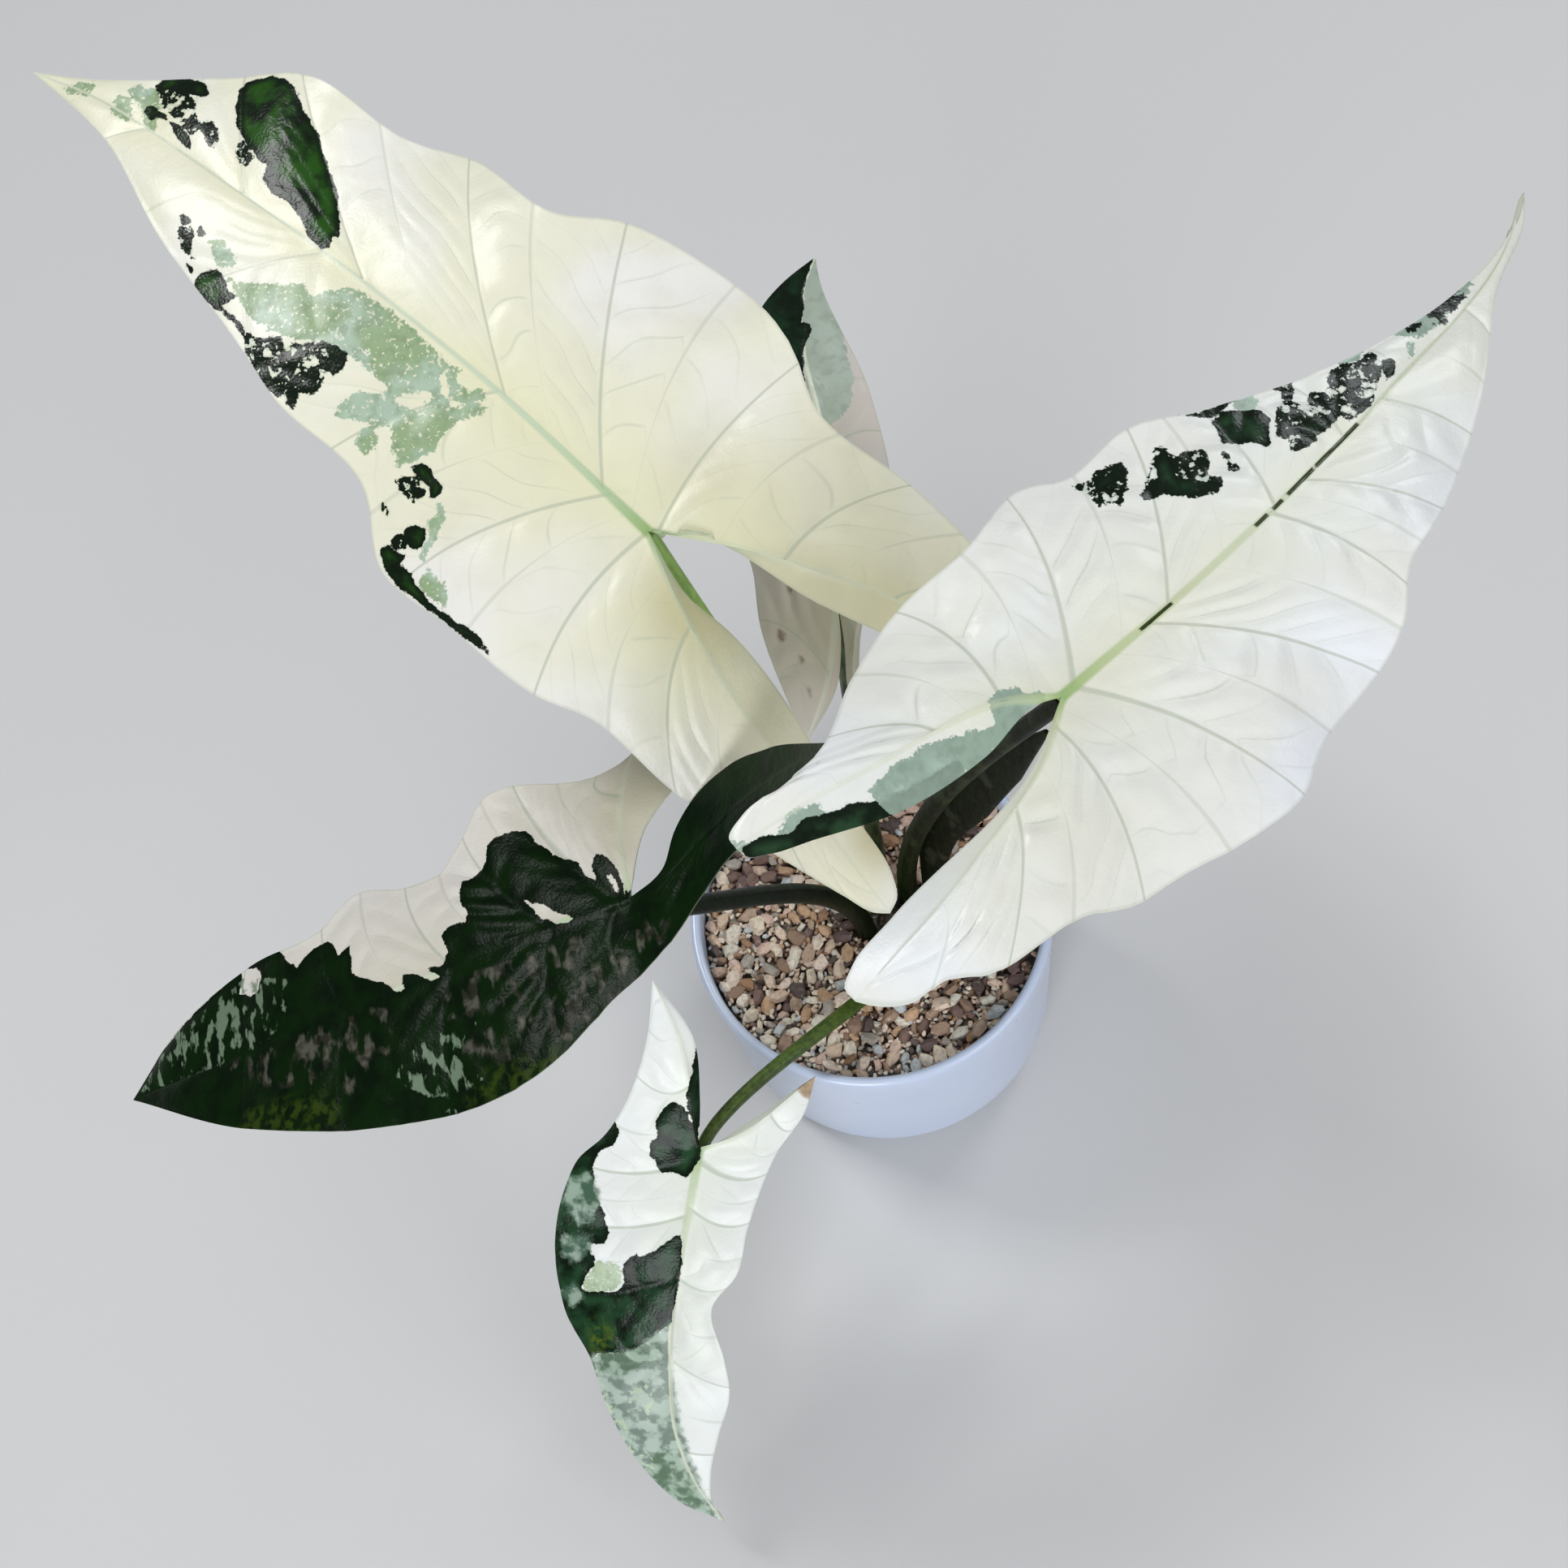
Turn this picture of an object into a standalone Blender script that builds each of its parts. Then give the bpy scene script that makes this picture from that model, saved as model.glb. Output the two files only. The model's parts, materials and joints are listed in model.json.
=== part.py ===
"""A potted variegated alocasia: five arrow-shaped leaves on arching stalks, in a round pot of gravel.

The origin is the centre of the pot's foot, on the ground. +Z is up and -Y is the front. Sizes that
follow MM are in millimetres, and the finished objects are in metres.
"""
import math
from dataclasses import dataclass

import bmesh
import bpy
import numpy as np
from mathutils import Matrix, Vector
from mathutils.geometry import delaunay_2d_cdt

MM = 0.001
CLEARANCE = 0.3  # between solids that touch
HOLE_CLEARANCE = 0.4  # around a stalk in the gravel

# The pot: a plain round cup with a soft lower corner and a rounded lip.
POT_HEIGHT = 92.0
POT_RIM_RADIUS = 63.0
POT_SIDE_RADIUS = 59.0  # where the side leaves the lower corner
POT_CORNER = 14.0
POT_WALL = 3.6
POT_FLOOR = 5.0
POT_SEGMENTS = 56
CORNER_STEPS = 4
LIP_STEPS = 4

# The gravel: one bed with a relief of stones, larger than life.
GRAVEL_LEVEL = 82.5
STONE_SPACING = 10.4
STONE_HEIGHT = 3.4
STONE_JITTER = 1.7
STONE_TOP = 0.33  # radius of a stone's top as a share of the spacing
STONE_SIDES = 6
GRAVEL_SEED = 11

# The crown: a short stem in the gravel with the stalks standing around it.
CROWN = (7.0, -2.0)
CORM_RADIUS = 5.5
CORM_FOOT = 60.0
CORM_TOP = 90.0
STALK_RING = 10.5
STALK_FOOT = 62.0
STALK_SIDES = 10
STALK_RINGS = 15

# The leaf blades.
BLADE_THICKNESS = 0.9
RIB_THICKNESS = 3.0
REACH = 60.0  # half width at which cup and waves have their full height
VEIN_BOW = 4.0
STALK_INSET = 2.0  # of the stalk's end from the notch, along the midrib

WHITE_GLAZE = (0.72, 0.74, 0.90)
GRAVEL = (0.36, 0.29, 0.24)
BARK = (0.05, 0.03, 0.02)
CREAM = (0.80, 0.81, 0.62)
WHITE = (0.86, 0.87, 0.82)
GREY_SAGE = (0.40, 0.46, 0.37)
DARK_GREEN = (0.015, 0.04, 0.014)
LIGHT_GREEN = (0.20, 0.36, 0.08)
OLIVE = (0.09, 0.15, 0.02)


@dataclass
class Half:
    """One half of a blade, in the blade's own plane: along the midrib and across it, in MM.

    vein_ends pairs a place on the spine with a place on the margin. On the spine 0 is the tip,
    1 the junction and 2 the lobe's tip. On the margin 0 is the tip and 1 the lobe's tip.
    """

    margin: list
    rib: list
    inner: list
    vein_ends: list
    lobe_drop: float
    cup: float
    wave: tuple  # height, length along the leaf, phase in degrees


@dataclass
class Leaf:
    """One leaf: where its blade and its stalk stand, and their shape."""

    name: str
    blade_colour: tuple
    stalk_colour: tuple
    junction: tuple
    tip: tuple
    roll: float
    arch: float
    hem_drop: float
    midrib: list
    left: Half
    right: Half
    root_angle: float
    stalk_handles: tuple
    stalk_radii: tuple
    rows: tuple = (14, 8, 5, 2)  # along the midrib, along a lobe, across a half, across the hem


LEAVES = [
    Leaf(
        name="upper_left", blade_colour=CREAM, stalk_colour=LIGHT_GREEN,
        junction=(-33, 33, 323), tip=(-179, 226, 339), roll=-10, arch=14, hem_drop=5,
        midrib=[(242, 0), (218, -4), (170, -6), (53, -5), (0, 0)],
        left=Half(
            margin=[(242, 0), (203, 4), (164, 18), (124, 28), (104, 34), (70, 38), (55, 52), (28, 53),
                    (-4, 53), (-17, 49), (-44, 50), (-69, 48), (-93, 42), (-98, 37)],
            rib=[(0, 0), (-24, 13), (-57, 25), (-98, 37)],
            inner=[(0, 0), (-19, 7), (-30, 7), (-83, 24), (-98, 37)],
            vein_ends=[(0.2, 0.11), (0.5, 0.28), (0.77, 0.46), (0.94, 0.58), (1.0, 0.72), (1.26, 0.84),
                       (1.59, 0.94)],
            lobe_drop=88, cup=-9, wave=(5, 95, 50)),
        right=Half(
            margin=[(242, 0), (222, -8), (186, -30), (164, -44), (126, -47), (109, -53), (74, -54),
                    (60, -64), (2, -64), (-15, -54), (-46, -54), (-86, -45), (-109, -32)],
            rib=[(0, 0), (-34, -16), (-64, -26), (-109, -32)],
            inner=[(0, 0), (-11, -7), (-48, -13), (-86, -23), (-109, -32)],
            vein_ends=[(0.2, 0.12), (0.37, 0.19), (0.56, 0.24), (0.78, 0.39), (0.93, 0.53),
                       (1.02, 0.7), (1.33, 0.82), (1.6, 0.93)],
            lobe_drop=15, cup=-5, wave=(5, 80, 100)),
        root_angle=140, stalk_handles=((-2, 10, 165), (-26, 29, 265)), stalk_radii=(3.8, 2.8)),
    Leaf(
        name="right", blade_colour=WHITE, stalk_colour=OLIVE,
        junction=(58, -56, 349), tip=(228, 82, 302), roll=4, arch=12, hem_drop=5,
        midrib=[(224, 0), (193, -9), (132, -12), (36, -6), (0, 0)],
        left=Half(
            margin=[(224, 0), (208, -5), (193, -7), (87, 22), (72, 33), (50, 37), (43, 43), (17, 43),
                    (-5, 47), (-26, 44), (-51, 36), (-63, 36), (-76, 40), (-81, 36)],
            rib=[(0, 0), (-10, 10), (-27, 18), (-43, 23), (-81, 36)],
            inner=[(0, 0), (-4, 3), (-23, 5), (-45, 11), (-67, 23), (-81, 36)],
            vein_ends=[(0.3, 0.2), (0.53, 0.36), (0.66, 0.44), (0.84, 0.5), (0.98, 0.62), (1.16, 0.75),
                       (1.37, 0.88), (1.72, 0.96)],
            lobe_drop=10, cup=-4, wave=(5, 75, 10)),
        right=Half(
            margin=[(224, 0), (213, -6), (183, -14), (131, -36), (105, -43), (84, -46), (72, -53),
                    (30, -57), (16, -61), (-2, -57), (-18, -50), (-32, -45), (-40, -39), (-67, -29),
                    (-74, -22), (-81, -19), (-89, -8)],
            rib=[(0, 0), (-13, -6), (-51, -10), (-89, -8)],
            inner=[(0, 0), (-16, -5), (-68, -2), (-86, -4), (-89, -8)],
            vein_ends=[(0.26, 0.19), (0.45, 0.29), (0.61, 0.37), (0.67, 0.45), (0.87, 0.52),
                       (0.98, 0.64), (1.09, 0.78), (1.36, 0.89), (1.81, 0.96)],
            lobe_drop=25, cup=-6, wave=(4, 80, 60)),
        root_angle=40, stalk_handles=((8, 3, 171), (48, -47, 311)), stalk_radii=(3.5, 2.5)),
    Leaf(
        name="back", blade_colour=GREY_SAGE, stalk_colour=DARK_GREEN,
        junction=(13, 42, 240), tip=(33, 155, 251), roll=0, arch=10, hem_drop=3,
        midrib=[(116, 0), (102, 4), (89, 5), (44, 0), (0, 0)],
        left=Half(
            margin=[(116, 0), (106, 11), (78, 27), (46, 35), (28, 32), (13, 25), (-3, 24), (-41, 13)],
            rib=[(0, 0), (-30, 7), (-41, 13)],
            inner=[(0, 0), (-13, 0), (-24, 2), (-41, 13)],
            vein_ends=[(0.2, 0.18), (0.62, 0.38), (0.92, 0.53), (1.5, 0.77)],
            lobe_drop=60, cup=-6, wave=(2, 60, 0)),
        right=Half(
            margin=[(116, 0), (107, -1), (61, -15), (27, -19), (12, -17), (2, -12), (-8, -7), (-20, -5),
                    (-38, -4)],
            rib=[(0, 0), (-9, -4), (-22, -3), (-38, -4)],
            inner=[(0, 0), (-12, -1), (-26, -1), (-38, -4)],
            vein_ends=[(0.36, 0.2), (0.62, 0.43), (0.92, 0.61), (1.58, 0.89)],
            lobe_drop=60, cup=-10, wave=(2, 60, 0)),
        root_angle=95, stalk_handles=((8, 20, 130), (9, 43, 195)), stalk_radii=(3.0, 1.7),
        rows=(10, 5, 4, 1)),
    Leaf(
        name="lower_left", blade_colour=DARK_GREEN, stalk_colour=DARK_GREEN,
        junction=(-63, -49, 274), tip=(-229, -43, 201), roll=6, arch=10, hem_drop=0,
        midrib=[(182, 0), (148, 3), (109, 5), (73, 5), (0, 0)],
        left=Half(
            margin=[(182, 0), (133, 27), (82, 43), (30, 43), (3, 25), (-12, 17), (-35, 4), (-51, 3),
                    (-80, 9), (-91, 7)],
            rib=[(0, 0), (-13, -2), (-28, -7), (-44, -9), (-63, -6), (-91, 7)],
            inner=[(0, 0), (-12, -5), (-17, -14), (-26, -21), (-42, -22), (-58, -16), (-91, 7)],
            vein_ends=[(0.28, 0.19), (0.5, 0.33), (0.7, 0.45), (0.87, 0.58), (0.98, 0.66),
                       (1.3, 0.77)],
            lobe_drop=-54, cup=-3, wave=(3, 90, 0)),
        right=Half(
            margin=[(182, 0), (161, -13), (131, -23), (99, -24), (87, -31), (69, -27), (57, -27),
                    (49, -35), (41, -45), (10, -44), (-27, -51)],
            rib=[(0, 0), (0, -34), (-4, -45), (-27, -51)],
            inner=[(0, 0), (-5, -17), (-24, -39), (-27, -51)],
            vein_ends=[(0.28, 0.25), (0.5, 0.39), (0.7, 0.53), (0.87, 0.64), (0.98, 0.74),
                       (1.48, 0.84)],
            lobe_drop=90, cup=-5, wave=(5, 62, 200)),
        root_angle=190, stalk_handles=((2, 0, 153), (-48, -47, 238)), stalk_radii=(3.6, 2.7)),
    Leaf(
        name="front", blade_colour=WHITE, stalk_colour=OLIVE,
        junction=(-73, -74, 114), tip=(-99, -178, 27), roll=0, arch=8, hem_drop=3,
        midrib=[(138, 0), (122, -8), (103, -13), (73, -13), (0, 0)],
        left=Half(
            margin=[(138, 0), (132, -3), (119, -3), (102, 1), (85, 6), (72, 5), (54, 2), (42, 11),
                    (27, 15), (16, 19), (3, 25), (-11, 35), (-23, 39)],
            rib=[(0, 0), (-3, 10), (-23, 39)],
            inner=[(0, 0), (-1, 5), (-6, 14), (-23, 39)],
            vein_ends=[(0.23, 0.17), (0.48, 0.33), (0.69, 0.55), (0.86, 0.69), (0.97, 0.79),
                       (1.58, 0.89)],
            lobe_drop=0, cup=-5, wave=(5, 70, 0)),
        right=Half(
            margin=[(138, 0), (130, -14), (124, -20), (91, -36), (73, -41), (59, -48), (45, -50),
                    (13, -45), (5, -41), (-3, -32), (-37, -15), (-57, -12)],
            rib=[(0, 0), (-40, -5), (-57, -12)],
            inner=[(0, 0), (-17, 1), (-36, 0), (-57, -12)],
            vein_ends=[(0.23, 0.15), (0.48, 0.36), (0.69, 0.47), (0.84, 0.59), (0.97, 0.68),
                       (1.36, 0.85)],
            lobe_drop=10, cup=-6, wave=(3, 80, 0)),
        root_angle=240, stalk_handles=((0, -38, 113), (-63, -54, 107)), stalk_radii=(2.8, 2.1),
        rows=(11, 6, 4, 1)),
]

# The sheath: the flat, pointed leaf base that rises beside the right-hand stalk.
SHEATH_PATH = [(22, -4, 62), (23, -3, 112), (27, -6, 160), (37, -17, 209), (47, -28, 252), (57, -41, 297)]
SHEATH_WIDTHS = (3.4, 3.4, 5.0, 7.0, 5.6, 0.9)
SHEATH_DEPTHS = (2.4, 2.4, 2.4, 2.2, 1.8, 0.6)
SHEATH_FLAT_AXIS = (-0.62, 0.75, 0.22)


def clear_scene():
    """Remove every object of the starting scene."""
    for old in list(bpy.data.objects):
        bpy.data.objects.remove(old, do_unlink=True)


def finish(name, colour, roughness):
    """Return a material with the part's colour and roughness."""
    material = bpy.data.materials.new(name)
    material.use_nodes = True
    shader = material.node_tree.nodes["Principled BSDF"]
    shader.inputs["Base Color"].default_value = (*colour, 1.0)
    shader.inputs["Roughness"].default_value = roughness
    shader.inputs["Metallic"].default_value = 0.0
    return material


def add_object(name, mesh_data, colour, roughness=0.5, smooth=True):
    """Put a bmesh, whose points are in millimetres, into the scene as an object in metres."""
    mesh = bpy.data.meshes.new(name)
    mesh_data.transform(Matrix.Scale(MM, 4))
    mesh_data.to_mesh(mesh)
    mesh_data.free()
    if smooth:
        mesh.shade_smooth()
        mesh.set_sharp_from_angle(angle=math.radians(40))
    mesh.materials.append(finish(name, colour, roughness))
    made = bpy.data.objects.new(name, mesh)
    bpy.context.collection.objects.link(made)
    return made


def lathe(profile, segments):
    """Turn a closed profile of (radius, height) points, from pole to pole, about Z."""
    shape = bmesh.new()
    rings = []
    for radius, height in profile:
        if radius == 0:
            rings.append([shape.verts.new((0, 0, height))] * segments)
            continue
        turns = [2 * math.pi * k / segments for k in range(segments)]
        rings.append([shape.verts.new((radius * math.cos(t), radius * math.sin(t), height)) for t in turns])
    for lower, upper in zip(rings, rings[1:]):
        for k in range(segments):
            n = (k + 1) % segments
            corners = list(dict.fromkeys((lower[k], lower[n], upper[n], upper[k])))
            shape.faces.new(corners)
    return shape


def side_radius(height):
    """Return the pot's outer radius at a height above the lower corner."""
    share = (height - POT_CORNER) / (POT_HEIGHT - POT_CORNER)
    return POT_SIDE_RADIUS + (POT_RIM_RADIUS - POT_SIDE_RADIUS) * share


def corner_arc(side, bottom, radius):
    """Return points of the quarter round between a flat bottom and the side, bottom first."""
    turns = [math.pi / 2 * k / CORNER_STEPS for k in range(CORNER_STEPS + 1)]
    return [(side - radius + radius * math.sin(t), bottom + radius - radius * math.cos(t)) for t in turns]


def build_pot():
    """Build the pot as one turned shell: outside, lip, inside."""
    outer = [(0, 0)] + corner_arc(POT_SIDE_RADIUS, 0, POT_CORNER)
    lip = POT_WALL / 2
    crest = POT_HEIGHT - lip
    middle = side_radius(crest) - lip
    turns = [math.pi * k / LIP_STEPS for k in range(LIP_STEPS + 1)]
    rim = [(middle + lip * math.cos(t), crest + lip * math.sin(t)) for t in turns]
    inner_corner = POT_CORNER - POT_WALL
    inside = corner_arc(POT_SIDE_RADIUS - POT_WALL, POT_FLOOR, inner_corner)[::-1]
    profile = outer + [(side_radius(POT_HEIGHT / 2), POT_HEIGHT / 2)] + rim + inside + [(0, POT_FLOOR)]
    return add_object("pot", lathe(profile, POT_SEGMENTS), WHITE_GLAZE, roughness=0.3)


def stone_centres(radius):
    """Return the centres of the gravel's stones: a shaken triangular lattice inside a circle."""
    draw = np.random.default_rng(GRAVEL_SEED)
    row_step = STONE_SPACING * math.sqrt(3) / 2
    count = int(radius / row_step) + 1
    centres = []
    for row in range(-count, count + 1):
        for column in range(-count - 1, count + 2):
            shift = 0.5 * (row % 2)
            x = (column + shift) * STONE_SPACING + draw.uniform(-STONE_JITTER, STONE_JITTER)
            y = row * row_step + draw.uniform(-STONE_JITTER, STONE_JITTER)
            lift = draw.uniform(0.55, 1.0)
            turn = draw.uniform(0, math.pi)
            if math.hypot(x, y) < radius - 0.42 * STONE_SPACING:
                centres.append((x, y, lift, turn))
    return centres


def gravel_points(rim_radius):
    """Return the top surface's points: stone tops over the low ground between them."""
    flat = []
    heights = []
    centres = stone_centres(rim_radius)
    for x, y, lift, turn in centres:
        flat.append((x, y))
        heights.append(GRAVEL_LEVEL + STONE_HEIGHT * lift)
        for k in range(STONE_SIDES):
            angle = turn + 2 * math.pi * k / STONE_SIDES
            reach = STONE_TOP * STONE_SPACING * (1 + 0.18 * math.sin(2 * angle + turn))
            flat.append((x + reach * math.cos(angle), y + reach * math.sin(angle)))
            heights.append(GRAVEL_LEVEL + STONE_HEIGHT * lift * 0.78)
    low = STONE_SPACING / math.sqrt(3)
    for x, y, lift, turn in centres:
        for angle in (math.radians(30), math.radians(90)):
            spot = (x + low * math.cos(angle), y + low * math.sin(angle))
            nearest = min(math.hypot(spot[0] - c[0], spot[1] - c[1]) for c in centres)
            if math.hypot(*spot) < rim_radius - 2 and nearest > 1.3 * STONE_TOP * STONE_SPACING:
                flat.append(spot)
                heights.append(GRAVEL_LEVEL)
    return flat, heights


def build_gravel():
    """Build the gravel bed: a plug that fills the pot, with stones in relief on top."""
    gap = POT_WALL + CLEARANCE
    bottom = POT_FLOOR + CLEARANCE
    corner = corner_arc(POT_SIDE_RADIUS - gap, bottom, POT_CORNER - gap)
    rim_radius = side_radius(GRAVEL_LEVEL) - gap
    segments = POT_SEGMENTS
    turns = [2 * math.pi * k / segments for k in range(segments)]
    edge = [(rim_radius * math.cos(t), rim_radius * math.sin(t)) for t in turns]
    flat, heights = gravel_points(rim_radius)
    points = [Vector(p) for p in edge + flat]
    border = [(k, (k + 1) % segments) for k in range(segments)]
    found, _, triangles, origins, _, _ = delaunay_2d_cdt(points, border, [], 1, 1e-4)
    levels = [GRAVEL_LEVEL] * segments + heights
    shape = bmesh.new()
    top = [shape.verts.new((p.x, p.y, levels[origins[i][0]])) for i, p in enumerate(found)]
    for corners in triangles:
        face = shape.faces.new([top[i] for i in corners])
        if face.normal.z < 0:
            face.normal_flip()
    upper = {origins[i][0]: top[i] for i in range(len(found)) if origins[i][0] < segments}
    ring = [upper[k] for k in range(segments)]
    for radius, height in corner[::-1]:
        below = [shape.verts.new((radius * math.cos(t), radius * math.sin(t), height)) for t in turns]
        for k in range(segments):
            n = (k + 1) % segments
            shape.faces.new((ring[k], below[k], below[n], ring[n]))
        ring = below
    shape.faces.new(ring[::-1])
    bmesh.ops.recalc_face_normals(shape, faces=shape.faces)
    return add_object("gravel_bed", shape, GRAVEL, roughness=0.85, smooth=False)


def bezier(ends, steps):
    """Return points on a cubic curve, evenly spaced in its parameter."""
    a, b, c, d = [np.array(p, float) for p in ends]
    t = np.linspace(0, 1, steps)[:, None]
    return (1 - t) ** 3 * a + 3 * t * (1 - t) ** 2 * b + 3 * t * t * (1 - t) * c + t ** 3 * d


def smooth_curve(points, shares):
    """Return places on a smooth curve through points, at shares of its chord length."""
    knots = np.array(points, float)
    steps = np.linalg.norm(np.diff(knots, axis=0), axis=1)
    length = np.concatenate([[0.0], np.cumsum(steps)])
    length = length / length[-1]
    slope = np.gradient(knots, length, axis=0)
    share = np.clip(np.atleast_1d(shares), 0, 1)
    k = np.clip(np.searchsorted(length, share, side="right") - 1, 0, len(knots) - 2)
    span = (length[k + 1] - length[k])[:, None]
    t = (share[:, None] - length[k][:, None]) / span
    start = (2 * t ** 3 - 3 * t ** 2 + 1) * knots[k] + (t ** 3 - 2 * t ** 2 + t) * span * slope[k]
    return start + (3 * t ** 2 - 2 * t ** 3) * knots[k + 1] + (t ** 3 - t ** 2) * span * slope[k + 1]


def tube(path, widths, depths, flat_axis=None, end_plane=None):
    """Loft ellipses along a path and cap both ends; end_plane is (point, normal) of a mitred end."""
    path = np.array(path, float)
    tangents = np.gradient(path, axis=0)
    tangents /= np.linalg.norm(tangents, axis=1)[:, None]
    across = np.array(flat_axis if flat_axis is not None else (1.0, 0.3, 0.0), float)
    shape = bmesh.new()
    rings = []
    for place, tangent, width, depth in zip(path, tangents, widths, depths):
        across = across - tangent * across.dot(tangent)
        across /= np.linalg.norm(across)
        up = np.cross(tangent, across)
        ring = []
        for k in range(STALK_SIDES):
            turn = 2 * math.pi * k / STALK_SIDES
            ring.append(place + width * math.cos(turn) * across + depth * math.sin(turn) * up)
        rings.append((ring, tangent))
    if end_plane is not None:
        spot, normal = end_plane
        ring, tangent = rings[-1]
        rings[-1] = ([p + tangent * (spot - p).dot(normal) / tangent.dot(normal) for p in ring], tangent)
    loops = [[shape.verts.new(p) for p in ring] for ring, _ in rings]
    for lower, upper in zip(loops, loops[1:]):
        for k in range(STALK_SIDES):
            n = (k + 1) % STALK_SIDES
            shape.faces.new((lower[k], lower[n], upper[n], upper[k]))
    shape.faces.new(loops[0][::-1])
    shape.faces.new(loops[-1])
    bmesh.ops.recalc_face_normals(shape, faces=shape.faces)
    return shape


class BladeShape:
    """The curved surface of one leaf's blade, as a height over the leaf's own plane."""

    def __init__(self, leaf):
        self.leaf = leaf
        self.junction = np.array(leaf.junction, float)
        chord = np.array(leaf.tip, float) - self.junction
        self.length = np.linalg.norm(chord)
        self.along = chord / self.length
        level = np.cross((0.0, 0.0, 1.0), self.along)
        level /= np.linalg.norm(level)
        upright = np.cross(self.along, level)
        turn = math.radians(leaf.roll)
        self.across = math.cos(turn) * level + math.sin(turn) * upright
        self.up = np.cross(self.along, self.across)

    def height(self, half, a, b):
        """Return the surface's height at a place of the plane: arch, hanging lobe, cup and waves."""
        forward = max(a, 0.0) / self.length
        back = max(-a, 0.0) / 100
        reach = abs(b) / REACH
        wave_height, wave_length, phase = half.wave
        wave = wave_height * min(reach, 1.3) ** 2 * math.sin(math.tau * a / wave_length + math.radians(phase))
        arch = self.leaf.arch * 4 * forward * (1 - forward)
        return arch - half.lobe_drop * back ** 2 + half.cup * reach ** 2 + wave

    def place(self, half, a, b, drop=0.0):
        """Return the point in space over a place of the plane."""
        lift = self.height(half, a, b) - drop
        return self.junction + a * self.along + b * self.across + lift * self.up

    def slope_normal(self, a):
        """Return the surface's upward normal on the midrib."""
        ahead = self.place(self.leaf.left, a + 2, 0) - self.place(self.leaf.left, a, 0)
        normal = np.cross(ahead, self.across)
        return normal / np.linalg.norm(normal)


def bridge(shape, row_a, row_b, flip):
    """Join two rows of vertices with quads, or triangles where the rows meet in a point."""
    for k in range(len(row_a) - 1):
        corners = list(dict.fromkeys((row_a[k], row_a[k + 1], row_b[k + 1], row_b[k])))
        if len(corners) > 2:
            shape.faces.new(corners[::-1] if flip else corners)


def add_half(shape, surface, half, side, midrib, thickness):
    """Add one half of the blade: the outer grid, then the hem between the lobe's rib and the notch."""
    rows_mid, rows_lobe, columns, hem_columns = surface.leaf.rows
    lobe_shares = np.linspace(0, 1, rows_lobe + 1)
    rib = smooth_curve(half.rib, lobe_shares)
    spine = list(smooth_curve(surface.leaf.midrib, np.linspace(0, 1, rows_mid + 1))) + list(rib[1:])
    spine_places = np.concatenate([np.linspace(0, 1, rows_mid + 1), 1 + lobe_shares[1:]])
    ends = [(0.0, 0.0)] + half.vein_ends + [(2.0, 1.0)]
    edge_shares = np.interp(spine_places, [s for s, _ in ends], [m for _, m in ends])
    edge = smooth_curve(half.margin, edge_shares)

    def vertex(a, b, weight, drop=0.0):
        made = shape.verts.new(surface.place(half, a, b, drop))
        thickness[made] = weight
        return made

    thin = BLADE_THICKNESS / RIB_THICKNESS
    rib_verts = [midrib[-1]]
    for k in range(1, rows_lobe + 1):
        rib_verts.append(vertex(*rib[k], thin + (0.8 - thin) * (1 - k / rows_lobe)))
    lobe_tip = rib_verts[-1]
    spine_verts = midrib + rib_verts[1:]
    rows = [[midrib[0]] * (columns + 1)]
    for k in range(1, len(spine) - 1):
        row = [spine_verts[k]]
        for j in range(1, columns + 1):
            share = j / columns
            a, b = spine[k] * (1 - share) + edge[k] * share
            a += VEIN_BOW * 4 * share * (1 - share) * min(1.0, spine_places[k])
            row.append(vertex(a, b, thin))
        rows.append(row)
    rows.append([lobe_tip] * (columns + 1))
    for row_a, row_b in zip(rows, rows[1:]):
        bridge(shape, row_a, row_b, flip=side < 0)

    inner = smooth_curve(half.inner, lobe_shares)
    hem = [[midrib[-1]] * (hem_columns + 1)]
    for k in range(1, rows_lobe):
        row = [rib_verts[k]]
        for j in range(1, hem_columns + 1):
            share = j / hem_columns
            a, b = rib[k] * (1 - share) + inner[k] * share
            row.append(vertex(a, b, thin, surface.leaf.hem_drop * share * math.sin(math.pi * lobe_shares[k])))
        hem.append(row)
    hem.append([lobe_tip] * (hem_columns + 1))
    for row_a, row_b in zip(hem, hem[1:]):
        bridge(shape, row_a, row_b, flip=side > 0)


def build_blade(leaf):
    """Build a blade: its top surface as a triangulated sheet, thickened downwards."""
    surface = BladeShape(leaf)
    shape = bmesh.new()
    thickness = {}
    rows_mid = leaf.rows[0]
    midrib = []
    thin = BLADE_THICKNESS / RIB_THICKNESS
    for k, (a, b) in enumerate(smooth_curve(leaf.midrib, np.linspace(0, 1, rows_mid + 1))):
        made = shape.verts.new(surface.place(leaf.left, a, b))
        thickness[made] = thin + (1 - thin) * k / rows_mid
        midrib.append(made)
    add_half(shape, surface, leaf.left, 1, midrib, thickness)
    add_half(shape, surface, leaf.right, -1, midrib, thickness)
    bmesh.ops.triangulate(shape, faces=shape.faces, quad_method="FIXED")
    shape.verts.index_update()
    weights = [(made.index, weight) for made, weight in thickness.items()]
    blade = add_object("blade_" + leaf.name, shape, leaf.blade_colour, roughness=0.4)
    group = blade.vertex_groups.new(name="thickness")
    for index, weight in weights:
        group.add([index], weight, "REPLACE")
    solid = blade.modifiers.new("Solidify", "SOLIDIFY")
    solid.thickness = RIB_THICKNESS * MM
    solid.offset = -1.0
    solid.vertex_group = group.name
    return blade


def ring_place(angle):
    """Return a stalk's place in the gravel, on the ring around the corm."""
    turn = math.radians(angle)
    return CROWN[0] + STALK_RING * math.cos(turn), CROWN[1] + STALK_RING * math.sin(turn)


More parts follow.
